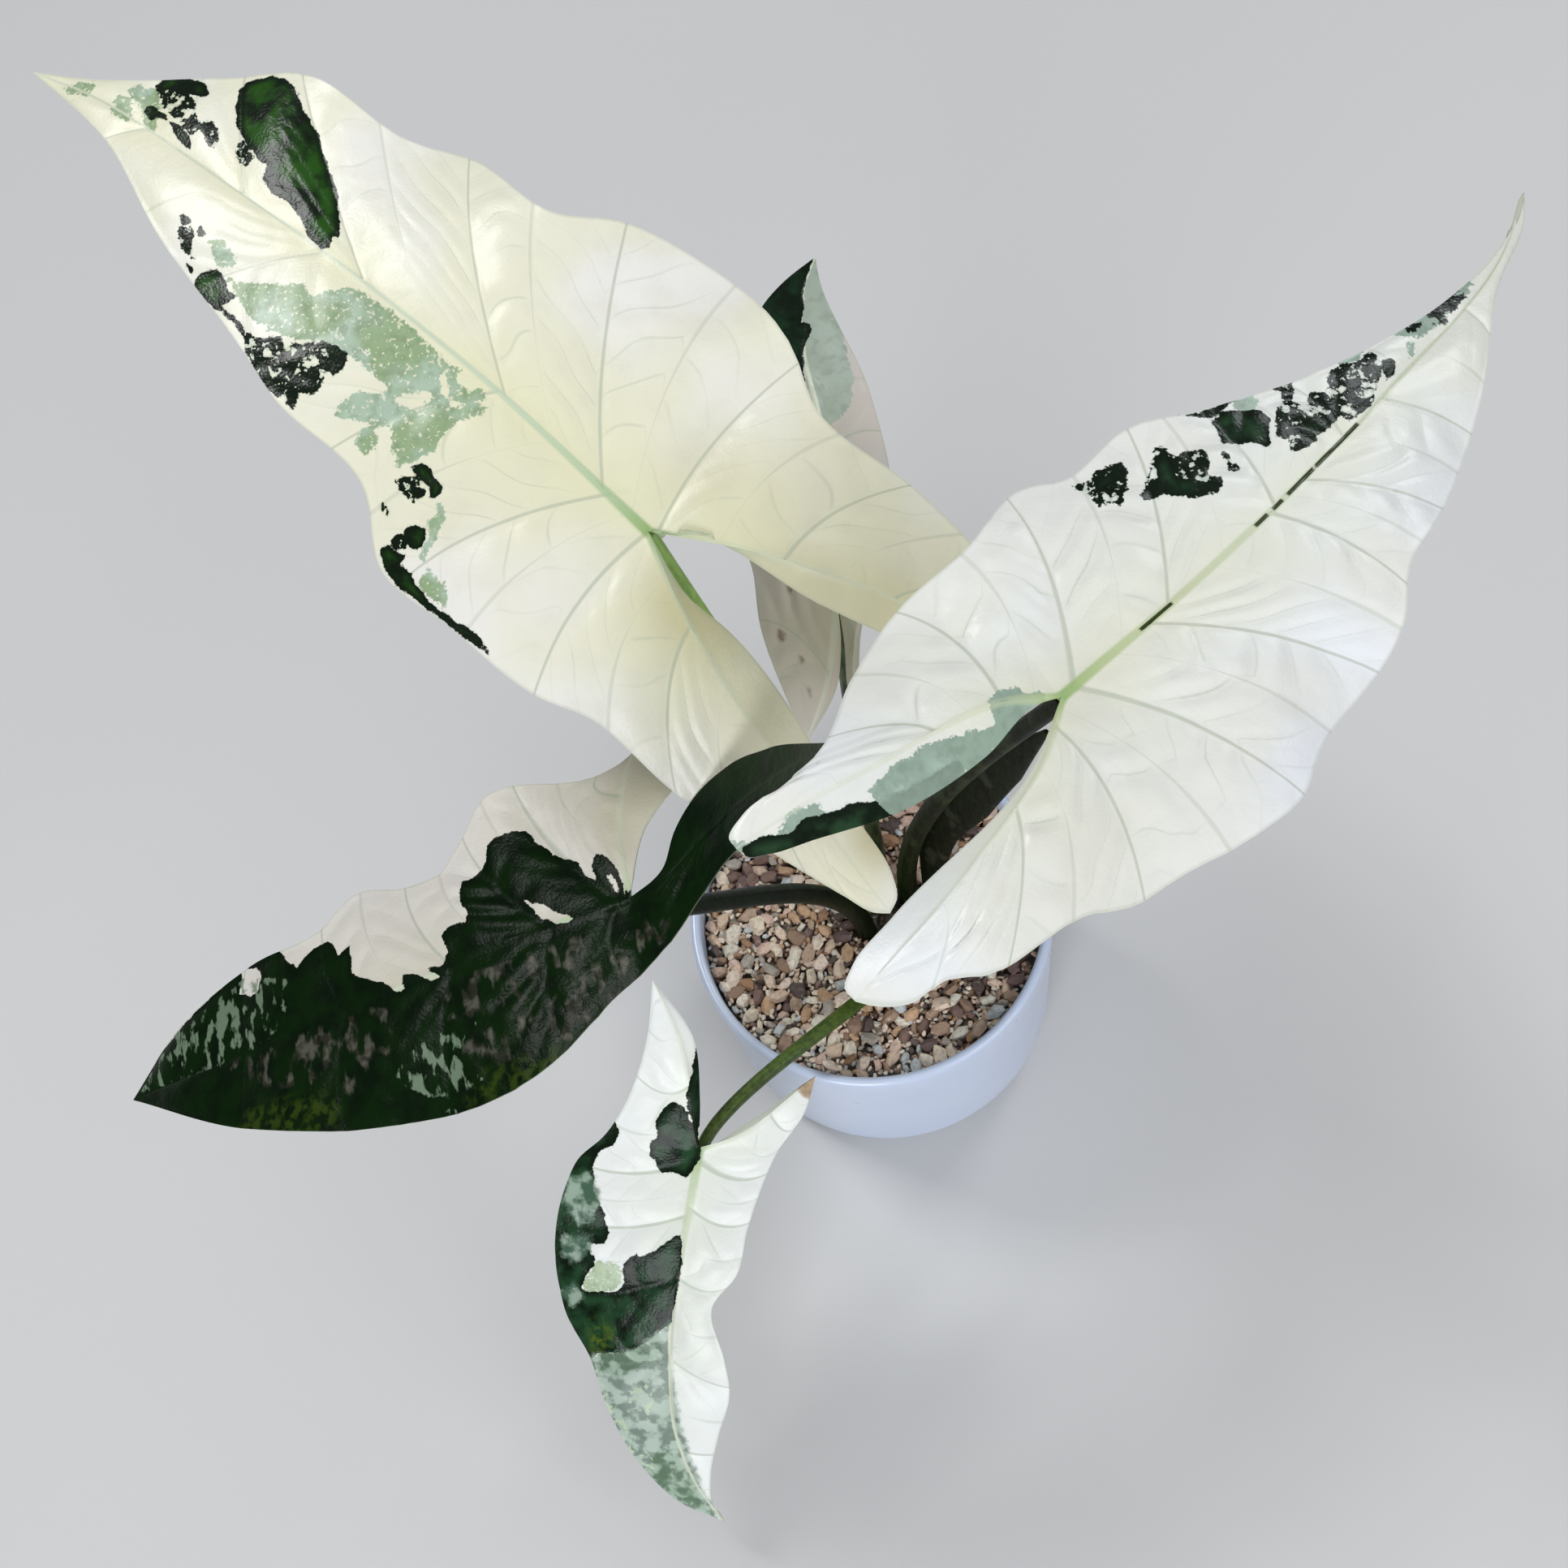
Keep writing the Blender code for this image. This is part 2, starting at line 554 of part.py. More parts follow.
def stalk_shape(leaf, grow=0.0):
    """Return a stalk's shape, or with grow a wider one that cuts its hole in the gravel."""
    surface = BladeShape(leaf)
    normal = surface.slope_normal(STALK_INSET)
    under = surface.place(leaf.left, STALK_INSET, 0) - normal * (RIB_THICKNESS + CLEARANCE)
    foot = (*ring_place(leaf.root_angle), STALK_FOOT - grow)
    path = bezier((foot, *leaf.stalk_handles, under), STALK_RINGS)
    radii = np.linspace(leaf.stalk_radii[0], leaf.stalk_radii[1], STALK_RINGS) + grow
    return tube(path, radii, radii, end_plane=(under, normal))


def build_stalk(leaf):
    """Build the stalk that carries a blade."""
    return add_object("stalk_" + leaf.name, stalk_shape(leaf), leaf.stalk_colour, roughness=0.4)


def sheath_shape(grow=0.0):
    """Return the sheath's shape, or with grow the wider one that cuts its hole."""
    shares = np.linspace(0, 1, STALK_RINGS)
    path = smooth_curve(SHEATH_PATH, shares)
    path[0][2] -= grow
    knots = np.linspace(0, 1, len(SHEATH_WIDTHS))
    widths = np.interp(shares, knots, SHEATH_WIDTHS) + grow
    depths = np.interp(shares, knots, SHEATH_DEPTHS) + grow
    return tube(path, widths, depths, flat_axis=SHEATH_FLAT_AXIS)


def corm_shape(grow=0.0):
    """Return the short brown stem's shape, or with grow the wider one that cuts its hole."""
    radius = CORM_RADIUS + grow
    foot = CORM_FOOT - grow
    profile = [(0, foot), (radius * 0.7, foot), (radius, foot + 4), (radius, CORM_TOP - 8),
               (radius * 0.82, CORM_TOP - 3), (radius * 0.45, CORM_TOP), (0, CORM_TOP + grow)]
    shape = lathe(profile, 16)
    bmesh.ops.translate(shape, verts=shape.verts, vec=(CROWN[0], CROWN[1], 0))
    return shape


def cut_holes(bed):
    """Cut the plain holes that the corm, the stalks and the sheath stand in."""
    shapes = [corm_shape(HOLE_CLEARANCE), sheath_shape(HOLE_CLEARANCE)]
    shapes += [stalk_shape(leaf, HOLE_CLEARANCE) for leaf in LEAVES]
    for number, shape in enumerate(shapes, 1):
        cutter = add_object(f"hole_{number}", shape, BARK)
        cutter.hide_render = True
        cutter.display_type = "WIRE"
        cut = bed.modifiers.new(cutter.name, "BOOLEAN")
        cut.operation = "DIFFERENCE"
        cut.object = cutter


def main():
    """Build every piece."""
    clear_scene()
    build_pot()
    bed = build_gravel()
    cut_holes(bed)
    add_object("corm", corm_shape(), BARK, roughness=0.8)
    add_object("leaf_sheath", sheath_shape(), DARK_GREEN, roughness=0.45)
    for leaf in LEAVES:
        build_stalk(leaf)
        build_blade(leaf)


main()
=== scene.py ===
"""The looks of a potted variegated alocasia: five arrow-shaped leaves over a round pot of gravel.

Sizes are in millimetres unless a name or a comment says otherwise, and Blender gets metres. The
origin is the centre of the pot's foot, +Z is up and -Y is the front.
"""
import json
import logging
import math
from dataclasses import dataclass, field
from enum import Enum

import bpy
import numpy as np
from mathutils import Matrix, Vector, noise

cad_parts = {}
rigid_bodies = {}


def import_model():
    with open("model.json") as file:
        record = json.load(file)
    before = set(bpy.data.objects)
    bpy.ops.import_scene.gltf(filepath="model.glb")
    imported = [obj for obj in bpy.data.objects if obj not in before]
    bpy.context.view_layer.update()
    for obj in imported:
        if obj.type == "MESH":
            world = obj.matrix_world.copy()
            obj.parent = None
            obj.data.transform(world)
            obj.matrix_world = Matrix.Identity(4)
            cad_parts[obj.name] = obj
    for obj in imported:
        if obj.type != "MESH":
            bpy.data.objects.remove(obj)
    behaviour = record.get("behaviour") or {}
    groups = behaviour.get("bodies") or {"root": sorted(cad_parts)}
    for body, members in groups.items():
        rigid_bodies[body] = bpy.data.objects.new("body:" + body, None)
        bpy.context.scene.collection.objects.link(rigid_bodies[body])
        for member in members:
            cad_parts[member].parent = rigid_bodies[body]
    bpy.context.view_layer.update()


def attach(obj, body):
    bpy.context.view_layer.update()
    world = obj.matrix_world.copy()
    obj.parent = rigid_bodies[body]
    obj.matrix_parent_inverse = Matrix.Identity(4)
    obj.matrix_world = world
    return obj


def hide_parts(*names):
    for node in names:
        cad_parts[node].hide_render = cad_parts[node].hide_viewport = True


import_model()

LOG = logging.getLogger("alocasia")
MM = 0.001
BODY = "root"
Outline = list[tuple[float, float]]
Point = tuple[float, float, float]
Colour = tuple[float, float, float]


class Coat(Enum):
    """What a patch of a blade is coloured with."""

    DARK = "dark"
    MOTTLE = "mottle"
    SAGE = "sage"
    DEEP = "deep"
    FLECKS = "flecks"
    SILVER = "silver"
    GLOW = "glow"
    SPOT = "spot"
    DRY = "dry"
    CLEAR = "clear"


class Slot(Enum):
    """The record's material slots."""

    POT = "pot"
    GRAVEL = "gravel"
    BARK = "bark"
    PALE_LEAF = "variegated_leaf"
    DARK_LEAF = "dark_leaf"
    GREEN_STALK = "green_stalk"
    DARK_STALK = "dark_stalk"


class Bench:
    """The modelling bench: Blender's own operators, one object at a time."""

    @staticmethod
    def only(piece: bpy.types.Object) -> None:
        """Select one object alone and make it active."""
        for other in bpy.context.view_layer.objects:
            other.select_set(False)
        piece.select_set(True)
        bpy.context.view_layer.objects.active = piece

    @staticmethod
    def added(name: str) -> bpy.types.Object:
        """Name the object that an operator has just added, and return it."""
        piece = bpy.context.object
        piece.name = name
        piece.data.name = name
        return piece

    @staticmethod
    def sheet(name: str, places: np.ndarray) -> bpy.types.Object:
        """Add a grid and lay its points on a net of places.

        Args:
            name: The object's name.
            places: Points in millimetres, as rows x columns x 3.

        Returns:
            The shaped grid.
        """
        rows, columns = places.shape[:2]
        bpy.ops.mesh.primitive_grid_add(x_subdivisions=columns - 1, y_subdivisions=rows - 1, size=1.0)
        piece = Bench.added(name)
        piece.data.vertices.foreach_set("co", (places * MM).ravel())
        piece.data.update()
        return piece

    @staticmethod
    def tube(name: str, rings: np.ndarray) -> bpy.types.Object:
        """Make a closed, capped tube of rings of places.

        Args:
            name: The object's name.
            rings: Points in millimetres, as rings x sides x 3, without a doubled seam.

        Returns:
            The tube, with its faces pointing out.
        """
        closed = np.concatenate([rings, rings[:, :1]], axis=1)
        piece = Bench.sheet(name, closed)
        Bench.merge(piece)
        Bench.only(piece)
        bpy.ops.object.mode_set(mode="EDIT")
        bpy.ops.mesh.select_all(action="SELECT")
        bpy.ops.mesh.fill_holes(sides=0)
        bpy.ops.mesh.select_all(action="SELECT")
        bpy.ops.mesh.normals_make_consistent(inside=False)
        bpy.ops.object.mode_set(mode="OBJECT")
        return piece

    @staticmethod
    def merge(piece: bpy.types.Object, distance: float = 0.01) -> None:
        """Merge an object's doubled points, which lie closer than a distance in millimetres."""
        Bench.only(piece)
        bpy.ops.object.mode_set(mode="EDIT")
        bpy.ops.mesh.select_all(action="SELECT")
        bpy.ops.mesh.remove_doubles(threshold=distance * MM)
        bpy.ops.object.mode_set(mode="OBJECT")

    @staticmethod
    def recalculate(piece: bpy.types.Object) -> None:
        """Turn a closed object's faces outwards."""
        Bench.only(piece)
        bpy.ops.object.mode_set(mode="EDIT")
        bpy.ops.mesh.select_all(action="SELECT")
        bpy.ops.mesh.normals_make_consistent(inside=False)
        bpy.ops.object.mode_set(mode="OBJECT")

    @staticmethod
    def face_along(piece: bpy.types.Object, direction: np.ndarray) -> None:
        """Turn an open sheet's faces to look along a direction."""
        Bench.recalculate(piece)
        total = Vector((0.0, 0.0, 0.0))
        for polygon in piece.data.polygons:
            total += polygon.normal * polygon.area
        if total.dot(Vector(direction)) < 0:
            bpy.ops.object.mode_set(mode="EDIT")
            bpy.ops.mesh.select_all(action="SELECT")
            bpy.ops.mesh.flip_normals()
            bpy.ops.object.mode_set(mode="OBJECT")

    @staticmethod
    def join(pieces: list[bpy.types.Object], name: str) -> bpy.types.Object:
        """Join objects into one."""
        Bench.only(pieces[0])
        for piece in pieces:
            piece.select_set(True)
        bpy.ops.object.join()
        return Bench.added(name)

    @staticmethod
    def modify(piece: bpy.types.Object, kind: str, **settings: object) -> None:
        """Add a modifier with its settings and apply it."""
        Bench.only(piece)
        modifier = piece.modifiers.new(kind.title(), kind)
        for name, value in settings.items():
            setattr(modifier, name, value)
        bpy.ops.object.modifier_apply(modifier=modifier.name)

    @staticmethod
    def smooth(piece: bpy.types.Object, angle: float = 40.0) -> None:
        """Shade an object smooth, with edges sharper than an angle left sharp."""
        Bench.only(piece)
        bpy.ops.object.shade_smooth_by_angle(angle=math.radians(angle))

    @staticmethod
    def note(piece: bpy.types.Object, name: str, values: np.ndarray) -> None:
        """Keep a number for each point of a mesh, for its finish to read."""
        layer = piece.data.attributes.new(name, "FLOAT", "POINT")
        layer.data.foreach_set("value", np.asarray(values, np.float32).ravel())

    @staticmethod
    def deliver(piece: bpy.types.Object, slot: Slot, *nodes: str) -> None:
        """Let a finished piece ride on the body and stand for its solids."""
        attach(piece, BODY)
        if nodes:
            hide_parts(*nodes)
        LOG.info("%s: %d faces", piece.name, len(piece.data.polygons))


class Paint:
    """One material's node tree, built node by node."""

    def __init__(self, name: str) -> None:
        """Start a material with its shader."""
        self.material = bpy.data.materials.new(name)
        self.material.use_nodes = True
        self.tree = self.material.node_tree
        self.shader = self.tree.nodes["Principled BSDF"]
        self.objects = self.tree.nodes.new("ShaderNodeTexCoord").outputs["Object"]

    def feed(self, socket: bpy.types.NodeSocket, value: object) -> None:
        """Link a socket to another, or set its number or colour."""
        if isinstance(value, bpy.types.NodeSocket):
            self.tree.links.new(value, socket)
        elif isinstance(value, tuple):
            socket.default_value = (*value, 1.0) if len(value) == 3 and socket.type == "RGBA" else value
        else:
            socket.default_value = value

    def math(self, operation: str, *values: object) -> bpy.types.NodeSocket:
        """Return the result of a Math node."""
        node = self.tree.nodes.new("ShaderNodeMath")
        node.operation = operation
        for socket, value in zip(node.inputs, values):
            self.feed(socket, value)
        return node.outputs[0]

    def mix(self, share: object, low: object, high: object) -> bpy.types.NodeSocket:
        """Return a blend of two colours."""
        node = self.tree.nodes.new("ShaderNodeMix")
        node.data_type = "RGBA"
        self.feed(node.inputs[0], share)
        self.feed(node.inputs[6], low)
        self.feed(node.inputs[7], high)
        return node.outputs[2]

    def blend(self, share: object, low: object, high: object) -> bpy.types.NodeSocket:
        """Return a blend of two numbers."""
        node = self.tree.nodes.new("ShaderNodeMix")
        self.feed(node.inputs[0], share)
        self.feed(node.inputs[2], low)
        self.feed(node.inputs[3], high)
        return node.outputs[0]

    def noise(self, size: float, detail: float = 2.0, stretch: Point = (1.0, 1.0, 1.0),
              place: object = None) -> bpy.types.NodeSocket:
        """Return a noise from 0 to 1.

        Args:
            size: The size of its grains in millimetres.
            detail: How many finer layers it has.
            stretch: How many times finer it is along X, Y and Z.
            place: The coordinates that it reads, or None for the object's own.

        Returns:
            The noise's value.
        """
        mapping = self.tree.nodes.new("ShaderNodeMapping")
        self.feed(mapping.inputs["Vector"], place or self.objects)
        self.feed(mapping.inputs["Scale"], tuple(s / (size * MM) for s in stretch))
        node = self.tree.nodes.new("ShaderNodeTexNoise")
        node.inputs["Scale"].default_value = 1.0
        node.inputs["Detail"].default_value = detail
        self.feed(node.inputs["Vector"], mapping.outputs[0])
        return node.outputs[0]

    def cells(self, size: float, feature: str = "F1") -> bpy.types.NodeSocket:
        """Return a Voronoi pattern's distance, for cells of a size in millimetres."""
        node = self.tree.nodes.new("ShaderNodeTexVoronoi")
        node.feature = feature
        node.inputs["Scale"].default_value = 1.0 / (size * MM)
        self.feed(node.inputs["Vector"], self.objects)
        return node.outputs["Distance"]

    def noted(self, name: str) -> bpy.types.NodeSocket:
        """Return a number that the mesh keeps for each point."""
        node = self.tree.nodes.new("ShaderNodeAttribute")
        node.attribute_name = name
        return node.outputs["Fac"]

    def step(self, value: object, low: float, high: float) -> bpy.types.NodeSocket:
        """Return 0 below low and 1 above high, with a soft ramp between; high may be the lower."""
        node = self.tree.nodes.new("ShaderNodeMapRange")
        node.interpolation_type = "SMOOTHSTEP"
        turned = high < low
        self.feed(node.inputs["Value"], value)
        node.inputs["From Min"].default_value = min(low, high)
        node.inputs["From Max"].default_value = max(low, high)
        node.inputs["To Min"].default_value = 1.0 if turned else 0.0
        node.inputs["To Max"].default_value = 0.0 if turned else 1.0
        return node.outputs[0]

    def ramp(self, value: object, stops: list[tuple[float, Colour]], stepped: bool = False) -> bpy.types.NodeSocket:
        """Return a colour from a row of stops, in steps or blended."""
        node = self.tree.nodes.new("ShaderNodeValToRGB")
        self.feed(node.inputs[0], value)
        band = node.color_ramp
        band.interpolation = "CONSTANT" if stepped else "LINEAR"
        while len(band.elements) < len(stops):
            band.elements.new(1.0)
        for element, (place, colour) in zip(band.elements, stops):
            element.position = place
            element.color = (*colour, 1.0)
        return node.outputs[0]

    def bump(self, height: object, distance: float, strength: float = 1.0) -> None:
        """Raise the surface by a height, whose full step is a distance in millimetres."""
        node = self.tree.nodes.new("ShaderNodeBump")
        node.inputs["Strength"].default_value = strength
        node.inputs["Distance"].default_value = distance * MM
        self.feed(node.inputs["Height"], height)
        self.tree.links.new(node.outputs[0], self.shader.inputs["Normal"])

    def finish(self, **sockets: object) -> bpy.types.Material:
        """Set the shader's sockets, written with underscores, and return the material."""
        for name, value in sockets.items():
            self.feed(self.shader.inputs[name.replace("_", " ")], value)
        return self.material


def curve(points: Outline | list[Point], shares: np.ndarray) -> np.ndarray:
    """Return places on a smooth curve through points.

    Args:
        points: The points that the curve passes, in order.
        shares: Where the places lie, as shares of the curve's chord length.

    Returns:
        One place for each share.
    """
    knots = np.array(points, float)
    steps = np.linalg.norm(np.diff(knots, axis=0), axis=1)
    length = np.concatenate([[0.0], np.cumsum(steps)])
    length = length / length[-1]
    slope = np.gradient(knots, length, axis=0)
    share = np.clip(np.atleast_1d(shares), 0, 1)
    k = np.clip(np.searchsorted(length, share, side="right") - 1, 0, len(knots) - 2)
    span = (length[k + 1] - length[k])[:, None]
    t = (share[:, None] - length[k][:, None]) / span
    start = (2 * t ** 3 - 3 * t ** 2 + 1) * knots[k] + (t ** 3 - 2 * t ** 2 + t) * span * slope[k]
    return start + (3 * t ** 2 - 2 * t ** 3) * knots[k + 1] + (t ** 3 - t ** 2) * span * slope[k + 1]


def bezier(ends: tuple[Point, ...], steps: int) -> np.ndarray:
    """Return points on a cubic curve, evenly spaced in its parameter."""
    a, b, c, d = [np.array(p, float) for p in ends]
    t = np.linspace(0, 1, steps)[:, None]
    return (1 - t) ** 3 * a + 3 * t * (1 - t) ** 2 * b + 3 * t * t * (1 - t) * c + t ** 3 * d


def inside(outline: Outline, a: np.ndarray, b: np.ndarray) -> np.ndarray:
    """Return how deep points lie inside an outline, in millimetres, and less than 0 outside."""
    corner = np.array(outline, float)
    edge = np.roll(corner, -1, axis=0) - corner
    away = np.stack([a, b], -1)[:, None, :] - corner
    share = np.clip((away * edge).sum(-1) / (edge ** 2).sum(-1), 0, 1)
    gap = np.linalg.norm(away - edge * share[..., None], axis=-1).min(axis=1)
    above = corner[:, 1] > b[:, None]
    rise = np.where(edge[:, 1] == 0, 1e-9, edge[:, 1])
    crosses = above != ((corner + edge)[:, 1] > b[:, None])
    left = a[:, None] < corner[:, 0] + edge[:, 0] * (b[:, None] - corner[:, 1]) / rise
    within = (crosses & left).sum(axis=1) % 2 == 1
    return np.where(within, gap, -gap)


def ripple(places: np.ndarray, size: float, seed: float) -> np.ndarray:
    """Return a smooth noise from -1 to 1 at places in millimetres, for bumps of a size."""
    flat = places.reshape(-1, 3) / size + seed
    return np.array([noise.noise(Vector(p)) for p in flat]).reshape(places.shape[:-1])


@dataclass(frozen=True)
class Half:
    """One half of a blade, in the blade's own plane: along the midrib and across it.

    vein_ends pairs a place on the spine with a place on the margin. On the spine 0 is the tip,
    1 the junction and 2 the lobe's tip. On the margin 0 is the tip and 1 the lobe's tip.
    """

    margin: Outline
    rib: Outline
    inner: Outline
    vein_ends: Outline
    lobe_drop: float
    cup: float
    wave: Point


@dataclass(frozen=True)
class Plan:
    """One leaf: where its blade and its stalk stand, and their shape."""

    name: str
    junction: Point
    tip: Point
    roll: float
    arch: float
    hem_drop: float
    midrib: Outline
    left: Half
    right: Half
    root_angle: float
    stalk_handles: tuple[Point, Point]
    stalk_radii: tuple[float, float]


UPPER_LEFT = Plan(
    name="upper_left", junction=(-33, 33, 323), tip=(-179, 226, 339), roll=-10, arch=14, hem_drop=5,
    midrib=[(242, 0), (218, -4), (170, -6), (53, -5), (0, 0)],
    left=Half(
        margin=[(242, 0), (203, 4), (164, 18), (124, 28), (104, 34), (70, 38), (55, 52), (28, 53),
                (-4, 53), (-17, 49), (-44, 50), (-69, 46), (-88, 42), (-95, 40), (-98, 37)],
        rib=[(0, 0), (-24, 13), (-57, 25), (-98, 37)],
        inner=[(0, 0), (-19, 7), (-30, 7), (-80, 23), (-93, 28), (-97, 32), (-98, 37)],
        vein_ends=[(0.2, 0.11), (0.5, 0.28), (0.77, 0.46), (0.94, 0.58), (1.0, 0.72), (1.26, 0.84),
                   (1.59, 0.94)],
        lobe_drop=88, cup=-9, wave=(5, 95, 50)),
    right=Half(
        margin=[(242, 0), (222, -8), (186, -30), (164, -44), (126, -47), (109, -53), (74, -54),
                (60, -64), (2, -64), (-15, -54), (-46, -54), (-86, -45), (-109, -32)],
        rib=[(0, 0), (-34, -16), (-64, -26), (-109, -32)],
        inner=[(0, 0), (-11, -7), (-48, -13), (-86, -23), (-109, -32)],
        vein_ends=[(0.2, 0.12), (0.37, 0.19), (0.56, 0.24), (0.78, 0.39), (0.93, 0.53), (1.02, 0.7),
                   (1.33, 0.82), (1.6, 0.93)],
        lobe_drop=15, cup=-5, wave=(5, 80, 100)),
    root_angle=140, stalk_handles=((-2, 10, 165), (-26, 29, 265)), stalk_radii=(3.8, 2.8))

RIGHT = Plan(
    name="right", junction=(58, -56, 349), tip=(228, 82, 302), roll=4, arch=12, hem_drop=5,
    midrib=[(224, 0), (193, -9), (132, -12), (36, -6), (0, 0)],
    left=Half(
        margin=[(224, 0), (208, -5), (193, -7), (87, 22), (72, 33), (50, 37), (43, 43), (17, 43),
                (-5, 47), (-26, 44), (-51, 36), (-63, 37), (-74, 40), (-80, 39), (-81, 36)],
        rib=[(0, 0), (-10, 10), (-27, 18), (-43, 23), (-81, 36)],
        inner=[(0, 0), (-4, 3), (-23, 5), (-45, 11), (-67, 23), (-77, 29), (-81, 33), (-81, 36)],
        vein_ends=[(0.3, 0.2), (0.53, 0.36), (0.66, 0.44), (0.84, 0.5), (0.98, 0.62), (1.16, 0.75),
                   (1.37, 0.88)],
        lobe_drop=10, cup=-4, wave=(5, 75, 10)),
    right=Half(
        margin=[(224, 0), (213, -6), (183, -14), (131, -36), (105, -43), (84, -46), (72, -53),
                (30, -57), (16, -61), (-2, -57), (-18, -50), (-32, -45), (-40, -39), (-67, -29),
                (-74, -22), (-82, -19), (-87, -13), (-89, -8)],
        rib=[(0, 0), (-13, -6), (-51, -10), (-89, -8)],
        inner=[(0, 0), (-16, -5), (-68, -2), (-83, -2), (-88, -4), (-89, -8)],
        vein_ends=[(0.26, 0.19), (0.45, 0.29), (0.61, 0.37), (0.67, 0.45), (0.87, 0.52), (0.98, 0.64),
                   (1.09, 0.78), (1.36, 0.89)],
        lobe_drop=25, cup=-6, wave=(4, 80, 60)),
    root_angle=40, stalk_handles=((8, 3, 171), (48, -47, 311)), stalk_radii=(3.5, 2.5))

BACK = Plan(
    name="back", junction=(13, 42, 240), tip=(33, 155, 251), roll=0, arch=10, hem_drop=3,
    midrib=[(116, 0), (102, 4), (89, 5), (44, 0), (0, 0)],
    left=Half(
        margin=[(116, 0), (106, 11), (78, 27), (46, 35), (28, 32), (13, 25), (-3, 24), (-41, 13)],
        rib=[(0, 0), (-30, 7), (-41, 13)],
        inner=[(0, 0), (-13, 0), (-24, 2), (-41, 13)],
        vein_ends=[(0.2, 0.18), (0.62, 0.38), (0.92, 0.53), (1.5, 0.77)],
        lobe_drop=60, cup=-6, wave=(2, 60, 0)),
    right=Half(
        margin=[(116, 0), (107, -1), (61, -15), (27, -19), (12, -17), (2, -12), (-8, -7), (-20, -5),
                (-38, -4)],
        rib=[(0, 0), (-9, -4), (-22, -3), (-38, -4)],
        inner=[(0, 0), (-12, -1), (-26, -1), (-38, -4)],
        vein_ends=[(0.36, 0.2), (0.62, 0.43), (0.92, 0.61), (1.58, 0.89)],
        lobe_drop=60, cup=-10, wave=(2, 60, 0)),
    root_angle=95, stalk_handles=((8, 20, 130), (9, 43, 195)), stalk_radii=(3.0, 1.7))

LOWER_LEFT = Plan(
    name="lower_left", junction=(-63, -49, 274), tip=(-229, -43, 201), roll=6, arch=10, hem_drop=0,
    midrib=[(182, 0), (148, 3), (109, 5), (73, 5), (0, 0)],
    left=Half(
        margin=[(182, 0), (133, 27), (82, 43), (30, 43), (3, 25), (-12, 17), (-35, 4), (-51, 3),
                (-80, 9), (-91, 7)],
        rib=[(0, 0), (-13, -2), (-28, -7), (-44, -9), (-63, -6), (-91, 7)],
        inner=[(0, 0), (-12, -5), (-17, -14), (-26, -21), (-42, -22), (-58, -16), (-91, 7)],
        vein_ends=[(0.28, 0.19), (0.5, 0.33), (0.7, 0.45), (0.87, 0.58), (0.98, 0.66), (1.3, 0.77)],
        lobe_drop=-54, cup=-3, wave=(3, 90, 0)),
    right=Half(
        margin=[(182, 0), (161, -13), (131, -23), (99, -24), (87, -31), (69, -27), (57, -27),
                (49, -35), (41, -45), (10, -44), (-27, -51)],
        rib=[(0, 0), (0, -34), (-4, -45), (-27, -51)],
        inner=[(0, 0), (-5, -17), (-24, -39), (-27, -51)],
        vein_ends=[(0.28, 0.25), (0.5, 0.39), (0.7, 0.53), (0.87, 0.64), (0.98, 0.74), (1.48, 0.84)],
        lobe_drop=90, cup=-5, wave=(5, 62, 200)),
    root_angle=190, stalk_handles=((2, 0, 153), (-48, -47, 238)), stalk_radii=(3.6, 2.7))

FRONT = Plan(
    name="front", junction=(-73, -74, 114), tip=(-99, -178, 27), roll=0, arch=8, hem_drop=3,
    midrib=[(138, 0), (122, -8), (103, -13), (73, -13), (0, 0)],
    left=Half(
        margin=[(138, 0), (132, -3), (119, -3), (102, 1), (85, 6), (72, 5), (54, 2), (42, 11),
                (27, 15), (16, 19), (3, 25), (-11, 35), (-23, 39)],
        rib=[(0, 0), (-3, 10), (-23, 39)],
        inner=[(0, 0), (-1, 5), (-6, 14), (-23, 39)],
        vein_ends=[(0.23, 0.17), (0.48, 0.33), (0.69, 0.55), (0.86, 0.69), (0.97, 0.79), (1.58, 0.89)],
        lobe_drop=0, cup=-5, wave=(5, 70, 0)),
    right=Half(
        margin=[(138, 0), (130, -14), (124, -20), (91, -36), (73, -41), (59, -48), (45, -50),
                (13, -45), (5, -41), (-3, -32), (-37, -15), (-57, -12)],
        rib=[(0, 0), (-40, -5), (-57, -12)],
        inner=[(0, 0), (-17, 1), (-36, 0), (-57, -12)],
        vein_ends=[(0.23, 0.15), (0.48, 0.36), (0.69, 0.47), (0.84, 0.59), (0.97, 0.68), (1.36, 0.85)],
        lobe_drop=10, cup=-6, wave=(3, 80, 0)),
    root_angle=240, stalk_handles=((0, -38, 113), (-63, -54, 107)), stalk_radii=(2.8, 2.1))

